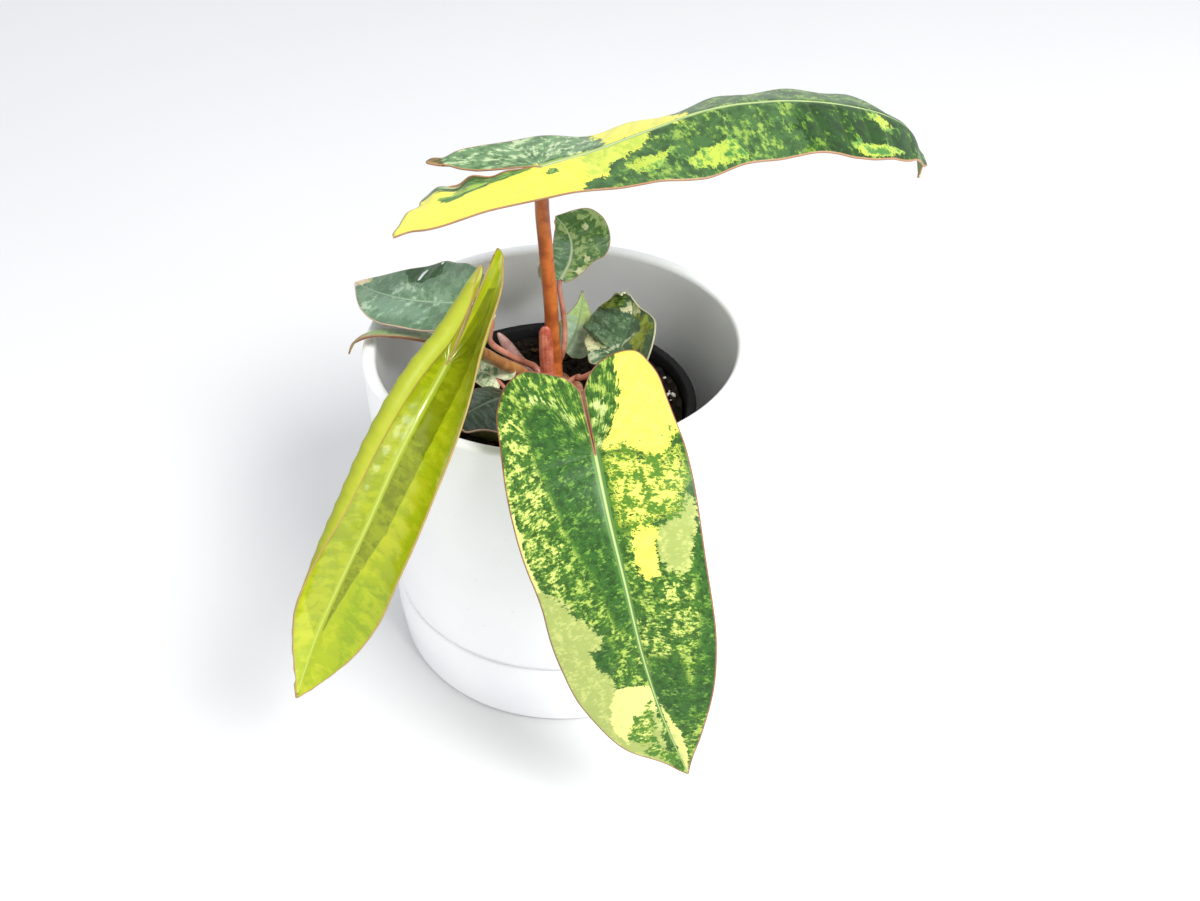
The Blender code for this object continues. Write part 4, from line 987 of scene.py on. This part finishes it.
def bladeMaterial(name, look, leaf, under):
    # top: sectors, faint side veins, pale midrib and a thin coloured margin. Underside: the same,
    # paler and duller, with the midrib broader
    finish, span, spacing = bladeFinish, leafBuild["uvSpan"], leaf["veinSpacing"]
    material, tree, shader = newMaterial(
        name, Roughness=look["roughness"] + (finish["underDull"] if under else 0.0),
        Specular_IOR_Level=0.3, Coat_Weight=0.0 if under else look["coat"], Coat_Roughness=0.12)
    colour, level = bladeColour(tree, look)
    rows = readMap(tree, "vein", (span / spacing, 0.0, 1.0))
    row = addNode(tree, "SeparateXYZ", {0: rows}).outputs[0]
    row = sumOf(tree, "SUBTRACT", row, leafBuild["uvStart"] * span / spacing)
    offVein = sumOf(tree, "PINGPONG", row, 0.5)
    vein = fade(tree, offVein, *finish["veinWidth"], look["veins"], 0.0)
    colour = blendOf(tree, vein, colour, blendOf(tree, finish["veinTint"], colour, look["rib"]))
    if under:
        colour = blendOf(tree, finish["underShare"], colour, look["under"])
    low, high = (edge * (finish["underRib"] if under else 1.0) for edge in finish["ribEdge"])
    offRib = readValue(tree, "rib")
    ribShare = fade(tree, offRib, low, high, finish["ribShare"], 0.0)
    colour = blendOf(tree, ribShare, colour, look["rib"])
    lineShare = fade(tree, offRib, *finish["ribLineEdge"], finish["ribShare"], 0.0)
    colour = blendOf(tree, lineShare, colour, look["ribLine"])
    thin = finish["rimWidth"][leaf["size"]]
    rimShare = fade(tree, readValue(tree, "margin"), 0.2 * thin, 0.8 * thin, 1.0, 0.0)
    colour = blendOf(tree, rimShare, colour, look["rim"])
    # the blade's tone takes it towards black: painted shade that makes up for how much light
    # reaches each blade
    colour = blendOf(tree, 1 - look["tone"], colour, (0.0, 0.0, 0.0))
    setColour(tree, shader, colour)
    grain = readMap(tree, "vein", (finish["grain"][0] * span, finish["grain"][1] * span, 1.0))
    fine = noiseOf(tree, grain, 1.0, 3.0, 0.6)
    height = sumOf(tree, "MULTIPLY_ADD", level, finish["levelShare"], fine)
    addBump(tree, shader, height, *finish["bump"])
    return material


def rimMaterial(name, look):
    # the blade's cut edge: the margin's colour, clouded darker
    material, tree, shader = newMaterial(name, Roughness=0.5)
    shade = noiseOf(tree, objectPoint(tree), 400.0, 3.0)
    darker = tuple(0.6 * c for c in look["rim"])
    setColour(tree, shader, blendOf(tree, shade, darker, look["rim"]))
    return material


stalkFinish = {
    "top": {"low": (0.34, 0.08, 0.02), "high": (0.62, 0.17, 0.035), "joint": (0.48, 0.14, 0.04)},
    "front": {"low": (0.34, 0.10, 0.05), "high": (0.52, 0.22, 0.12), "joint": (0.5, 0.2, 0.1)},
    "left": {"low": (0.26, 0.10, 0.03), "high": (0.48, 0.22, 0.07), "joint": (0.5, 0.32, 0.1)},
    "pink": {"low": (0.40, 0.13, 0.08), "high": (0.62, 0.27, 0.19), "joint": (0.45, 0.25, 0.14)},
}
stalkGrain = {"ridges": 11, "ridgeShare": 0.2, "blotches": 160.0, "speckles": 1500.0,
              "blotchFade": (0.35, 0.65), "speckleFade": (0.6, 0.68), "bump": (0.08, 0.7)}


def stalkMaterial(name, finish):
    # blotches from the low colour to the high, with small speckles of the joint colour; faint
    # ridges run along the stalk. Noise scales are per metre, here and below
    material, tree, shader = newMaterial(name, Roughness=0.38, Coat_Weight=0.15, Coat_Roughness=0.2)
    stalk = readMap(tree, "stalk", (1.0, 1.0, 1.0))
    around = addNode(tree, "SeparateXYZ", {0: stalk}).outputs[1]
    turns = 2 * stalkGrain["ridges"] * math.pi
    ridge = sumOf(tree, "SINE", sumOf(tree, "MULTIPLY", around, turns))
    blotch = noiseOf(tree, objectPoint(tree), stalkGrain["blotches"], 4.0, 0.6)
    speckle = noiseOf(tree, objectPoint(tree), stalkGrain["speckles"], 2.0, 0.6)
    blotchShare = fade(tree, blotch, *stalkGrain["blotchFade"])
    colour = blendOf(tree, blotchShare, finish["low"], finish["high"])
    speckleShare = fade(tree, speckle, *stalkGrain["speckleFade"], 0.0, 0.5)
    setColour(tree, shader, blendOf(tree, speckleShare, colour, finish["joint"]))
    height = sumOf(tree, "MULTIPLY_ADD", ridge, stalkGrain["ridgeShare"], blotch)
    addBump(tree, shader, height, *stalkGrain["bump"])
    return material


# each leaf's node, its name, its stalk's finish and the record's slots of its blade and its petiole
leaves = [("top_leaf", "topLeaf", topLeaf, "top", "green_blade", "brown_petiole"),
          ("front_leaf", "frontLeaf", frontLeaf, "front", "green_blade", "brown_petiole"),
          ("left_leaf", "leftLeaf", leftLeaf, "left", "lime_blade", "brown_petiole"),
          ("left_back_leaf", "leftBackLeaf", leftBackLeaf, "pink", "green_blade", "pink_petiole"),
          ("narrow_leaf", "narrowLeaf", narrowLeaf, "pink", "green_blade", "pink_petiole"),
          ("back_leaf", "backLeaf", backLeaf, "pink", "green_blade", "pink_petiole"),
          ("pointed_leaf", "pointedLeaf", pointedLeaf, "pink", "green_blade", "pink_petiole"),
          ("curled_leaf", "curledLeaf", curledLeaf, "pink", "green_blade", "pink_petiole"),
          ("small_leaf", "smallLeaf", smallLeaf, "pink", "green_blade", "pink_petiole"),
          ("low_leaf", "lowLeaf", lowLeaf, "pink", "green_blade", "pink_petiole")]
stalkMaterials = {name: stalkMaterial(name + "Stalk", finish)
                  for name, finish in stalkFinish.items()}
for node, name, leaf, stalk, bladeSlot, petioleSlot in leaves:
    look = looks[name]
    bladeParts = [bladeMaterial(name + "Top", look, leaf, False),
                  bladeMaterial(name + "Under", look, leaf, True), rimMaterial(name + "Rim", look)]
    makeBlade(name + "Blade", node + "_blade", leaf, bladeParts)
    makePetiole(name + "Petiole", node + "_petiole", leaf, stalkMaterials[stalk])
    print("leaf made:", name)

sheaths = {
    "growingSheath": {"node": "growing_sheath", "leavesAt": (255, 35), "side": (1.0, 0.0, 0.0),
                      "route": [(-3.8, 7.6, 106.0), (-3.8, 7.0, 122.0)], "base": 1.9, "belly": 2.4,
                      "tip": 3.0, "depth": 0.6,
                      "low": (0.42, 0.07, 0.04), "high": (0.72, 0.24, 0.14)},
    "drySheath": {"node": "dry_sheath", "leavesAt": (132, 80), "side": (0.7, 0.43, 0.36),
                  "route": [(-14.0, 25.5, 95.5), (-21.5, 29.0, 106.0)], "base": 1.2, "belly": 2.1,
                  "tip": 6.0, "depth": 0.45,
                  "low": (0.32, 0.14, 0.11), "high": (0.60, 0.34, 0.30)},
}
sheathBuild = {"fold": 0.35, "foldWidth": 0.22, "flute": 0.03, "flutes": 12, "bluntest": 0.0004,
               "joint": (0.7, 0.4, 0.3)}


def makeSheath(name, sheath, material):
    # a flattened tube that swells from base to belly as the root of a sine and closes to its tip
    # as a circle does, with a bell-shaped fold down its front and flutes, a cosine, round it
    def radius(at, end):
        swell = np.sin(math.pi * at / end).clip(0) ** 0.5
        body = sheath["base"] + (sheath["belly"] - sheath["base"]) * swell
        left = np.clip((end - at) / sheath["tip"], sheathBuild["bluntest"], 1)
        return body * np.sqrt(2 * left - left**2)

    def section(angle):
        fold = np.exp(-((np.cos(angle) / sheathBuild["foldWidth"]) ** 2)) * (np.sin(angle) > 0)
        flutes = 1 + sheathBuild["flute"] * np.cos(sheathBuild["flutes"] * angle)
        deep = sheath["depth"] * (1 - sheathBuild["fold"] * fold)
        return np.cos(angle) * flutes, deep * np.sin(angle) * flutes

    route = [*crownStart(sheath), *sheath["route"]]
    tube = sweepTube(route, radius, sheath["side"], section, sides=48, steps=90)
    return addPiece(name, meshFromPatches(name, [tube]), [material], [sheath["node"]])


for name, sheath in sheaths.items():
    makeSheath(name, sheath, stalkMaterial(name + "Skin", {**sheathBuild, **sheath}))
print("sheaths made")

pot = {"radius": 65.0, "top": 122.7, "wall": 4.5, "floor": 5.2, "footRadius": 60.0, "steps": 192,
       "lip": 1.4, "innerLip": 2.2, "footCorner": 4.5, "hollowCorner": 8.0, "waviness": 0.05}
saucer = {"radius": 65.5, "top": 26.35, "floor": 5.0, "play": 0.6, "lip": 0.6, "shoulder": 1.0,
          "footCorner": 2.0, "hollowCorner": 4, "footRing": 7, "underside": 0.9, "waviness": 0.04}
drainRadius = 6.0
clearance = 0.3     # between pieces that touch
potBase = saucer["floor"] + clearance
nursery = {"centre": (-2.3, -2.0), "radius": 50.0, "footRadius": 37.0, "top": 98.0, "wall": 1.0,
           "lipWidth": 2.2, "lipHeight": 6.0, "base": potBase + pot["floor"] + clearance}


def arcPoints(centre, radius, start, end, count):
    angle = np.radians(np.linspace(start, end, count))
    return [(centre[0] + radius * c, centre[1] + radius * s)
            for c, s in zip(np.cos(angle), np.sin(angle))]


def turnProfile(profile, centre, steps, relief=0.0):
    # (radius, height) points turned round an upright axis; a profile that starts off the axis is
    # a closed loop. Relief is the height of a slow waviness, sin(3a + 0.06z) cos(2a) at angle a
    # and height z, as thrown clay has
    profile = np.array(profile if profile[0][0] == 0 else [*profile, profile[0]], float)
    angle = np.linspace(0, 2 * math.pi, steps + 1)
    r, z = profile[:, :1], profile[:, 1:]
    wave = relief * np.sin(3 * angle + 0.06 * z) * np.cos(2 * angle) * (r > 0)
    points = np.stack([centre[0] + (r + wave) * np.cos(angle),
                       centre[1] + (r + wave) * np.sin(angle),
                       np.broadcast_to(z, wave.shape)], axis=-1)
    ids = np.arange(wave.size).reshape(wave.shape)
    ids[:, -1] = ids[:, 0]
    if profile[0, 0] == 0:
        ids[0], ids[-1] = ids[0, 0], ids[-1, 0]
    else:
        ids[-1] = ids[0]
    run = runLengths(profile)[:, None] / leafBuild["uvSpan"]
    around = np.linspace(0, 1, steps + 1)[None, :]
    uv = {"stalk": np.stack(np.broadcast_arrays(run, around), axis=-1)}
    return gridPatch(points, ids, uv)


def smoothProfile(points, count):
    points = np.array(points, float)
    stations = runLengths(points)
    return [tuple(p) for p in smoothCurve(stations, points, np.linspace(0, stations[-1], count))]


def makeSaucer(material):
    # from the middle of its floor out over the lip, down a slightly bellied side to the foot ring
    # and back to the middle of its raised underside
    inner = pot["footRadius"] + saucer["play"]
    radius, top, floor = saucer["radius"], saucer["top"], saucer["floor"]
    corner, lipRound, shoulder = saucer["hollowCorner"], saucer["lip"], saucer["shoulder"]
    hollow = arcPoints((inner - corner, floor + corner), corner, -90, 0, 10)
    lip = arcPoints((inner + lipRound, top - lipRound), lipRound, 180, 90, 7)
    edge = arcPoints((radius - 2 * shoulder, top - shoulder), shoulder, 90, 20, 8)
    side = smoothProfile([(radius - 1.06, top - 0.66), (radius - 0.4, 22.0), (radius, 17.0),
                          (radius - 0.5, 8.0), (radius - 0.9, saucer["footCorner"])], 24)[1:-1]
    foot = arcPoints((radius - 0.9 - saucer["footCorner"], saucer["footCorner"]),
                     saucer["footCorner"], 0, -90, 9)
    ring = radius - saucer["footRing"]
    under = [(ring, 0.0), *arcPoints((ring - 1.2, 0.0), 0.8, 0, 90, 5),
             (ring - 5, saucer["underside"])]
    profile = [(0.0, floor), *hollow, *lip, *edge, *side, *foot, *under, (0.0, saucer["underside"])]
    patch = turnProfile(profile, (0, 0), pot["steps"], saucer["waviness"])
    data = meshFromPatches("saucer", [patch])
    holdInBox(data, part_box("saucer"))
    return addPiece("glazedSaucer", data, [material], ["saucer"])


def makeCoverPot(material):
    # a closed loop from the rim down the outside, under the foot, up through the drain hole and
    # up the inside to the rim
    radius, top, foot = pot["radius"], pot["top"], pot["footRadius"]
    inside = radius - pot["wall"]
    shoulder = saucer["top"] + clearance
    floorTop = potBase + pot["floor"]
    lip, corner, deep, chamfer = pot["lip"], pot["footCorner"], pot["hollowCorner"], 0.5
    rim = arcPoints((radius - lip, top - lip), lip, 90, 0, 9)
    side = smoothProfile([(radius, top - lip), (radius, 80.0), (radius, 40.0),
                          (radius - 0.3, 31.0), (radius - 1.2, shoulder)], 48)[1:]
    under = [(foot + chamfer, shoulder), (foot, shoulder - chamfer), (foot, potBase + corner),
             *arcPoints((foot - corner, potBase + corner), corner, 0, -90, 8)[1:]]
    hole = [(drainRadius + chamfer, potBase), (drainRadius, potBase + chamfer),
            (drainRadius, floorTop - chamfer), (drainRadius + chamfer, floorTop)]
    hollow = arcPoints((inside - deep, floorTop + deep), deep, -90, 0, 12)
    wall = [(inside, z) for z in np.linspace(floorTop + 12, top - 6, 16)]
    innerLip = arcPoints((inside + pot["innerLip"], top - pot["innerLip"]), pot["innerLip"],
                         180, 90, 9)
    profile = rim + side + under + hole + hollow + wall + innerLip
    patch = turnProfile(profile, (0, 0), pot["steps"], pot["waviness"])
    data = meshFromPatches("coverPot", [patch])
    holdInBox(data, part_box("cover_pot"))
    return addPiece("glazedCoverPot", data, [material], ["cover_pot"])


def nurseryRadius(height):
    # outer radius of the tapered wall at a height
    share = (height - nursery["base"]) / (nursery["top"] - nursery["base"])
    top = nursery["radius"] - nursery["lipWidth"]
    return nursery["footRadius"] + (top - nursery["footRadius"]) * share


def makeNurseryPot(material):
    # a closed loop from the rolled lip down the taper, under the bottom and up the inside
    base, top, wall = nursery["base"], nursery["top"], nursery["wall"]
    foot, radius = nursery["footRadius"], nursery["radius"]
    underLip = top - nursery["lipHeight"]
    lip = [(radius - 0.9, top), (radius - 0.35, top - 0.12), (radius, top - 0.6),
           (radius, underLip + 0.3), (radius - 0.3, underLip),
           (nurseryRadius(underLip) + 0.3, underLip)]
    outer = [(nurseryRadius(z), z) for z in np.linspace(underLip - 0.4, base + 2, 24)]
    bottom = [(foot - 0.3, base + 0.4), (foot - 1.0, base), (drainRadius, base),
              (drainRadius, base + wall)]
    inner = [(nurseryRadius(z) - wall, z) for z in np.linspace(base + wall, top - 0.5, 24)]
    edge = [(nurseryRadius(top) - wall + 0.35, top)]
    patch = turnProfile(lip + outer + bottom + inner + edge, nursery["centre"], pot["steps"])
    data = meshFromPatches("nurseryPot", [patch])
    holdInBox(data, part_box("nursery_pot"))
    return addPiece("blackNurseryPot", data, [material], ["nursery_pot"])


glazeFinish = {"thin": (0.91, 0.915, 0.925), "thick": (0.94, 0.94, 0.94),
               "speck": (0.5, 0.47, 0.42), "runs": 28.0, "specks": 900.0, "peel": 420.0,
               "bump": (0.06, 0.5)}
plasticFinish = {"black": (0.012, 0.012, 0.013), "dust": (0.06, 0.055, 0.05), "dustScale": 350.0,
                 "hoops": 7000.0, "bump": (0.05, 0.5)}


def glazeMaterial():
    # near-white glaze, a breath cooler where it runs thin, with rare dark specks and orange peel
    material, tree, shader = newMaterial("whiteGlaze", Roughness=0.32, Coat_Weight=0.25,
                                         Coat_Roughness=0.12)
    place = objectPoint(tree)
    thin = noiseOf(tree, place, glazeFinish["runs"], 4.0, 0.55)
    colour = blendOf(tree, fade(tree, thin, 0.3, 0.7), glazeFinish["thin"], glazeFinish["thick"])
    speck = noiseOf(tree, place, glazeFinish["specks"], 2.0, 0.4)
    colour = blendOf(tree, fade(tree, speck, 0.74, 0.78, 0.0, 0.4), colour, glazeFinish["speck"])
    setColour(tree, shader, colour)
    peel = noiseOf(tree, place, glazeFinish["peel"], 2.0, 0.5)
    height = sumOf(tree, "MULTIPLY_ADD", thin, 3.0, peel)
    addBump(tree, shader, height, *glazeFinish["bump"])
    return material


def plasticMaterial():
    # matt black, with fine hoop lines from the mould and pale dust
    material, tree, shader = newMaterial("blackPlastic", Roughness=0.6, Specular_IOR_Level=0.12)
    place = objectPoint(tree)
    dust = noiseOf(tree, place, plasticFinish["dustScale"], 5.0, 0.7)
    colour = blendOf(tree, fade(tree, dust, 0.55, 0.8, 0.0, 0.5), plasticFinish["black"],
                     plasticFinish["dust"])
    setColour(tree, shader, colour)
    height = addNode(tree, "SeparateXYZ", {0: place}).outputs[2]
    hoops = sumOf(tree, "SINE", sumOf(tree, "MULTIPLY", height, plasticFinish["hoops"]))
    addBump(tree, shader, sumOf(tree, "ADD", hoops, dust), *plasticFinish["bump"])
    return material


glaze = glazeMaterial()
makeSaucer(glaze)
makeCoverPot(glaze)
makeNurseryPot(plasticMaterial())
print("pots made")

mix = {"level": 90.5, "dip": 2.2, "dipWidth": 15.0, "rise": 4.0, "riseFrom": 30.0,
       "riseWidth": 16.0, "lump": 0.7, "relief": 0.28, "clearance": 0.6, "spokes": 240, "rings": 60,
       "wallRings": 12, "holeRadius": 8.3, "holeFloor": 82.0,
       "low": (0.006, 0.005, 0.004), "high": (0.022, 0.015, 0.010)}
crumbBuild = {"reach": 44.0, "crownGap": 9.5, "lift": 0.15, "knock": (0.7, 1.25),
              "squash": (0.6, 1.2), "clouds": 260.0, "grain": 1400.0, "bump": (0.3, 0.8)}
crumbs = {
    "darkCrumbs": {"count": 1500, "size": (0.5, 1.6), "flat": 0.8, "tumble": 1.0, "seed": 3,
                   "centre": (0, 0), "spread": 45.0,
                   "low": (0.010, 0.008, 0.006), "high": (0.035, 0.024, 0.016)},
    "barkChips": {"count": 60, "size": (1.6, 3.4), "flat": 0.35, "tumble": 0.35, "seed": 8,
                  "centre": (0, 0), "spread": 44.0,
                  "low": (0.045, 0.026, 0.014), "high": (0.16, 0.09, 0.045)},
    "perliteGrains": {"count": 90, "size": (0.4, 1.25), "flat": 0.85, "tumble": 1.0, "seed": 5,
                      "centre": (43, 14), "spread": 14.0,
                      "low": (0.5, 0.47, 0.42), "high": (0.8, 0.78, 0.74)},
}


def mixHeight(x, y):
    # the solid's own top: level, with a bell-shaped dip at the crown and a rise with the square of
    # the way to the pot's wall, and lumps made of two waves of crossed sines
    away = np.hypot(x - leafBuild["crown"][0], y - leafBuild["crown"][1])
    dip = np.exp(-((away / mix["dipWidth"]) ** 2))
    lumps = np.sin(0.55 * x + 1.0) * np.sin(0.47 * y) + 0.6 * np.sin(0.9 * x - 0.7 * y)
    out = np.hypot(x - nursery["centre"][0], y - nursery["centre"][1])
    rise = mix["rise"] * np.clip((out - mix["riseFrom"]) / mix["riseWidth"], 0, 1) ** 2
    return mix["level"] - mix["dip"] * dip + rise + mix["lump"] * lumps * (1 - dip)


def makeMix(material):
    # rings from the crown's hole out over the top, then down inside the nursery pot; the crumbly
    # relief is two products of crossed sines, and fades at the hole and at the pot
    count = mix["spokes"] + 1
    crown = np.array(leafBuild["crown"][:2])
    angle = np.linspace(0, 2 * math.pi, count)
    spoke = np.stack([np.cos(angle), np.sin(angle)], axis=1)
    base = nursery["base"] + nursery["wall"] + clearance
    gap = nursery["wall"] + mix["clearance"]
    inner = crown + spoke * mix["holeRadius"]
    outer = np.array(nursery["centre"]) + spoke * (nurseryRadius(mix["level"]) - gap)
    share = np.linspace(0, 1, mix["rings"])[:, None, None]
    flat = inner * (1 - share) + outer * share
    x, y = flat[..., 0], flat[..., 1]
    fine = (np.sin(2.3 * x + 1.3 * np.sin(1.1 * y)) * np.sin(2.9 * y)
            + 0.7 * np.sin(4.9 * x + 3.1 * y) * np.sin(3.7 * y - x))
    fine *= mix["relief"] * np.abs(np.sin(math.pi * share[..., 0])) ** 0.3
    top = np.concatenate([flat, (mixHeight(x, y) + fine)[..., None]], axis=-1)
    depth = np.linspace(mix["level"] - 1.5, base, mix["wallRings"])[:, None, None]
    wall = np.array(nursery["centre"]) + spoke * (nurseryRadius(depth) - gap)
    wall = np.concatenate([wall, np.broadcast_to(depth, (len(depth), count, 1))], axis=-1)

    def pole(place, level):
        return np.broadcast_to(np.array([*place, level]), (1, count, 3))

    floor = mix["holeFloor"]
    hole = np.concatenate([inner, np.full((count, 1), floor)], axis=1)[None]
    points = np.concatenate([pole(crown, floor), hole, top, wall, pole(nursery["centre"], base)])
    ids = np.arange(points.shape[0] * count).reshape(-1, count)
    ids[:, -1] = ids[:, 0]
    ids[0], ids[-1] = ids[0, 0], ids[-1, 0]
    data = meshFromPatches("pottingMix", [gridPatch(points, ids)])
    holdInBox(data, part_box("potting_mix"))
    return addPiece("dampMix", data, [material], ["potting_mix"])


def makeCrumbs(name, kind, material):
    # copies of a 20-faced ball, each squashed, knocked out of shape, turned and set on the mix
    draw = np.random.default_rng(kind["seed"])
    golden = (1 + math.sqrt(5)) / 2
    ball = np.array([(s * 1.0, t * golden, 0) for s in (-1, 1) for t in (-1, 1)])
    ball = np.concatenate([ball, np.roll(ball, 1, axis=1), np.roll(ball, 2, axis=1)])
    ball /= math.hypot(1, golden)
    near = np.linalg.norm(ball[:, None] - ball[None], axis=-1) < 1.1     # an edge is 1.05 long
    faces = np.array([(a, b, c) for a in range(12) for b in range(a + 1, 12)
                      for c in range(b + 1, 12) if near[a, b] and near[b, c] and near[a, c]])
    normal = np.cross(ball[faces[:, 1]] - ball[faces[:, 0]], ball[faces[:, 2]] - ball[faces[:, 0]])
    outward = (normal * ball[faces].mean(axis=1)).sum(axis=1) > 0
    faces = np.where(outward[:, None], faces, faces[:, ::-1])
    turn = draw.uniform(0, 2 * math.pi, kind["count"])
    r = np.sqrt(draw.uniform(0, 1, kind["count"])) * kind["spread"]
    x, y = kind["centre"][0] + r * np.cos(turn), kind["centre"][1] + r * np.sin(turn)
    away = np.hypot(x - leafBuild["crown"][0], y - leafBuild["crown"][1])
    out = np.hypot(x - nursery["centre"][0], y - nursery["centre"][1])
    kept = (out < crumbBuild["reach"]) & (away > crumbBuild["crownGap"])
    x, y, count = x[kept], y[kept], int(kept.sum())
    size = draw.uniform(*kind["size"], count)
    shape = ball[None] * draw.uniform(*crumbBuild["knock"], (count, 12, 1))
    shape = shape * draw.uniform(*crumbBuild["squash"], (count, 1, 3))
    shape[..., 2] *= kind["flat"]
    axes = np.linalg.qr(np.eye(3) + draw.normal(0, kind["tumble"], (count, 3, 3)))[0]
    axes *= np.sign(np.linalg.det(axes))[:, None, None]
    place = np.stack([x, y, mixHeight(x, y) + crumbBuild["lift"] * size], axis=1)
    co = np.einsum("nij,nkj->nki", axes, shape) * size[:, None, None] + place[:, None]
    faces = (faces[None] + 12 * np.arange(count)[:, None, None]).reshape(-1, 3)
    data = fillMesh(name, co.reshape(-1, 3) * mm, [faces])
    holdInBox(data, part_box("potting_mix"))
    return addPiece(name, data, [material], [])


def crumbMaterial(name, finish):
    # matt, clouded between its two colours, with a fine grain
    material, tree, shader = newMaterial(name, Roughness=0.9, Specular_IOR_Level=0.1)
    place = objectPoint(tree)
    shade = fade(tree, noiseOf(tree, place, crumbBuild["clouds"], 5.0, 0.7), 0.35, 0.65)
    colour = blendOf(tree, shade, finish["low"], finish["high"])
    setColour(tree, shader, colour)
    grain = noiseOf(tree, place, crumbBuild["grain"], 4.0, 0.7)
    addBump(tree, shader, grain, *crumbBuild["bump"])
    return material


makeMix(crumbMaterial("dampMix", mix))
for name, kind in crumbs.items():
    makeCrumbs(name, kind, crumbMaterial(name, kind))

crownBuild = {"radius": 7.95, "stalk": 4.95, "foot": 52.0, "scar": 0.35, "scarTurn": 1.7,
              "low": (0.10, 0.045, 0.022), "high": (0.30, 0.11, 0.06), "joint": (0.45, 0.25, 0.16)}


def makeCrown(material):
    # a round head on the stalk that stands in the mix. Leaf scars ring it: a sine of the height,
    # bent by a sine of three times the angle round it
    cx, cy, cz = leafBuild["crown"]
    radius, stalk, foot = crownBuild["radius"], crownBuild["stalk"], crownBuild["foot"]
    joint = math.degrees(math.asin(stalk / radius)) - 90
    head = arcPoints((0.0, 0.0), radius, 90, joint, 60)[1:]
    stem = [(stalk, z) for z in np.linspace(-8, foot - cz + 0.5, 20)]
    profile = [(0.0, radius), *head, *stem, (0.0, foot - cz)]
    patch = turnProfile([(r, z + cz) for r, z in profile], (cx, cy), 96)
    middle = np.array(leafBuild["crown"])
    out = patch["points"] - middle
    turn = np.arctan2(out[..., 1:2], out[..., 0:1])
    scars = np.sin(crownBuild["scarTurn"] * out[..., 2:3] + 0.8 * np.sin(3 * turn)) - 1
    away = np.maximum(np.linalg.norm(out, axis=-1, keepdims=True), 1)
    patch["points"] = middle + out * (1 + crownBuild["scar"] * scars / away)
    data = meshFromPatches("crown", [patch])
    holdInBox(data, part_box("stem"))
    return addPiece("leafCrown", data, [material], ["stem"])


makeCrown(stalkMaterial("crownSkin", crownBuild))
print("mix and crown made")

stage = {
    "floorHalf": 3.0,      # metres, as all lengths of this dictionary are
    "floorLow": (0.72, 0.72, 0.72), "floorHigh": (0.75, 0.75, 0.75),
    "world": 0.92, "worldColour": (0.95, 0.97, 1.0, 1.0),
    "key": {"place": (0.66, -0.72, 1.2), "size": 0.55, "power": 22.0},
    "fill": {"place": (1.0, -1.0, 0.36), "size": 0.4, "power": 3.0},
    "aim": (0.0, -0.02, 0.1),
}


def makeStage():
    # a pale floor, an even world, and two soft lights aimed at the part
    side = stage["floorHalf"]
    data = bpy.data.meshes.new("floor")
    corners = [(-side, -side, 0), (side, -side, 0), (side, side, 0), (-side, side, 0)]
    data.from_pydata(corners, [], [(0, 1, 2, 3)])
    material, tree, shader = newMaterial("paleFloor", Roughness=0.8)
    shade = noiseOf(tree, objectPoint(tree), 3.0, 2.0)
    colour = blendOf(tree, shade, stage["floorLow"], stage["floorHigh"])
    setColour(tree, shader, colour)
    data.materials.append(material)
    floor = bpy.data.objects.new("floor", data)
    bpy.context.scene.collection.objects.link(floor)
    world = bpy.data.worlds.new("paleRoom")
    world.use_nodes = True
    sky = world.node_tree.nodes["Background"]
    sky.inputs["Color"].default_value = stage["worldColour"]
    sky.inputs["Strength"].default_value = stage["world"]
    bpy.context.scene.world = world
    for name in ("key", "fill"):
        made = stage[name]
        lamp = bpy.data.lights.new(name, "AREA")
        lamp.size = made["size"]
        lamp.energy = made["power"]
        light = bpy.data.objects.new(name, lamp)
        light.location = made["place"]
        toward = Vector(stage["aim"]) - Vector(made["place"])
        light.rotation_euler = toward.to_track_quat("-Z", "Y").to_euler()
        bpy.context.scene.collection.objects.link(light)
    bpy.context.scene.view_settings.view_transform = "Standard"


makeStage()
print("stage set")

bpy.context.view_layer.update()
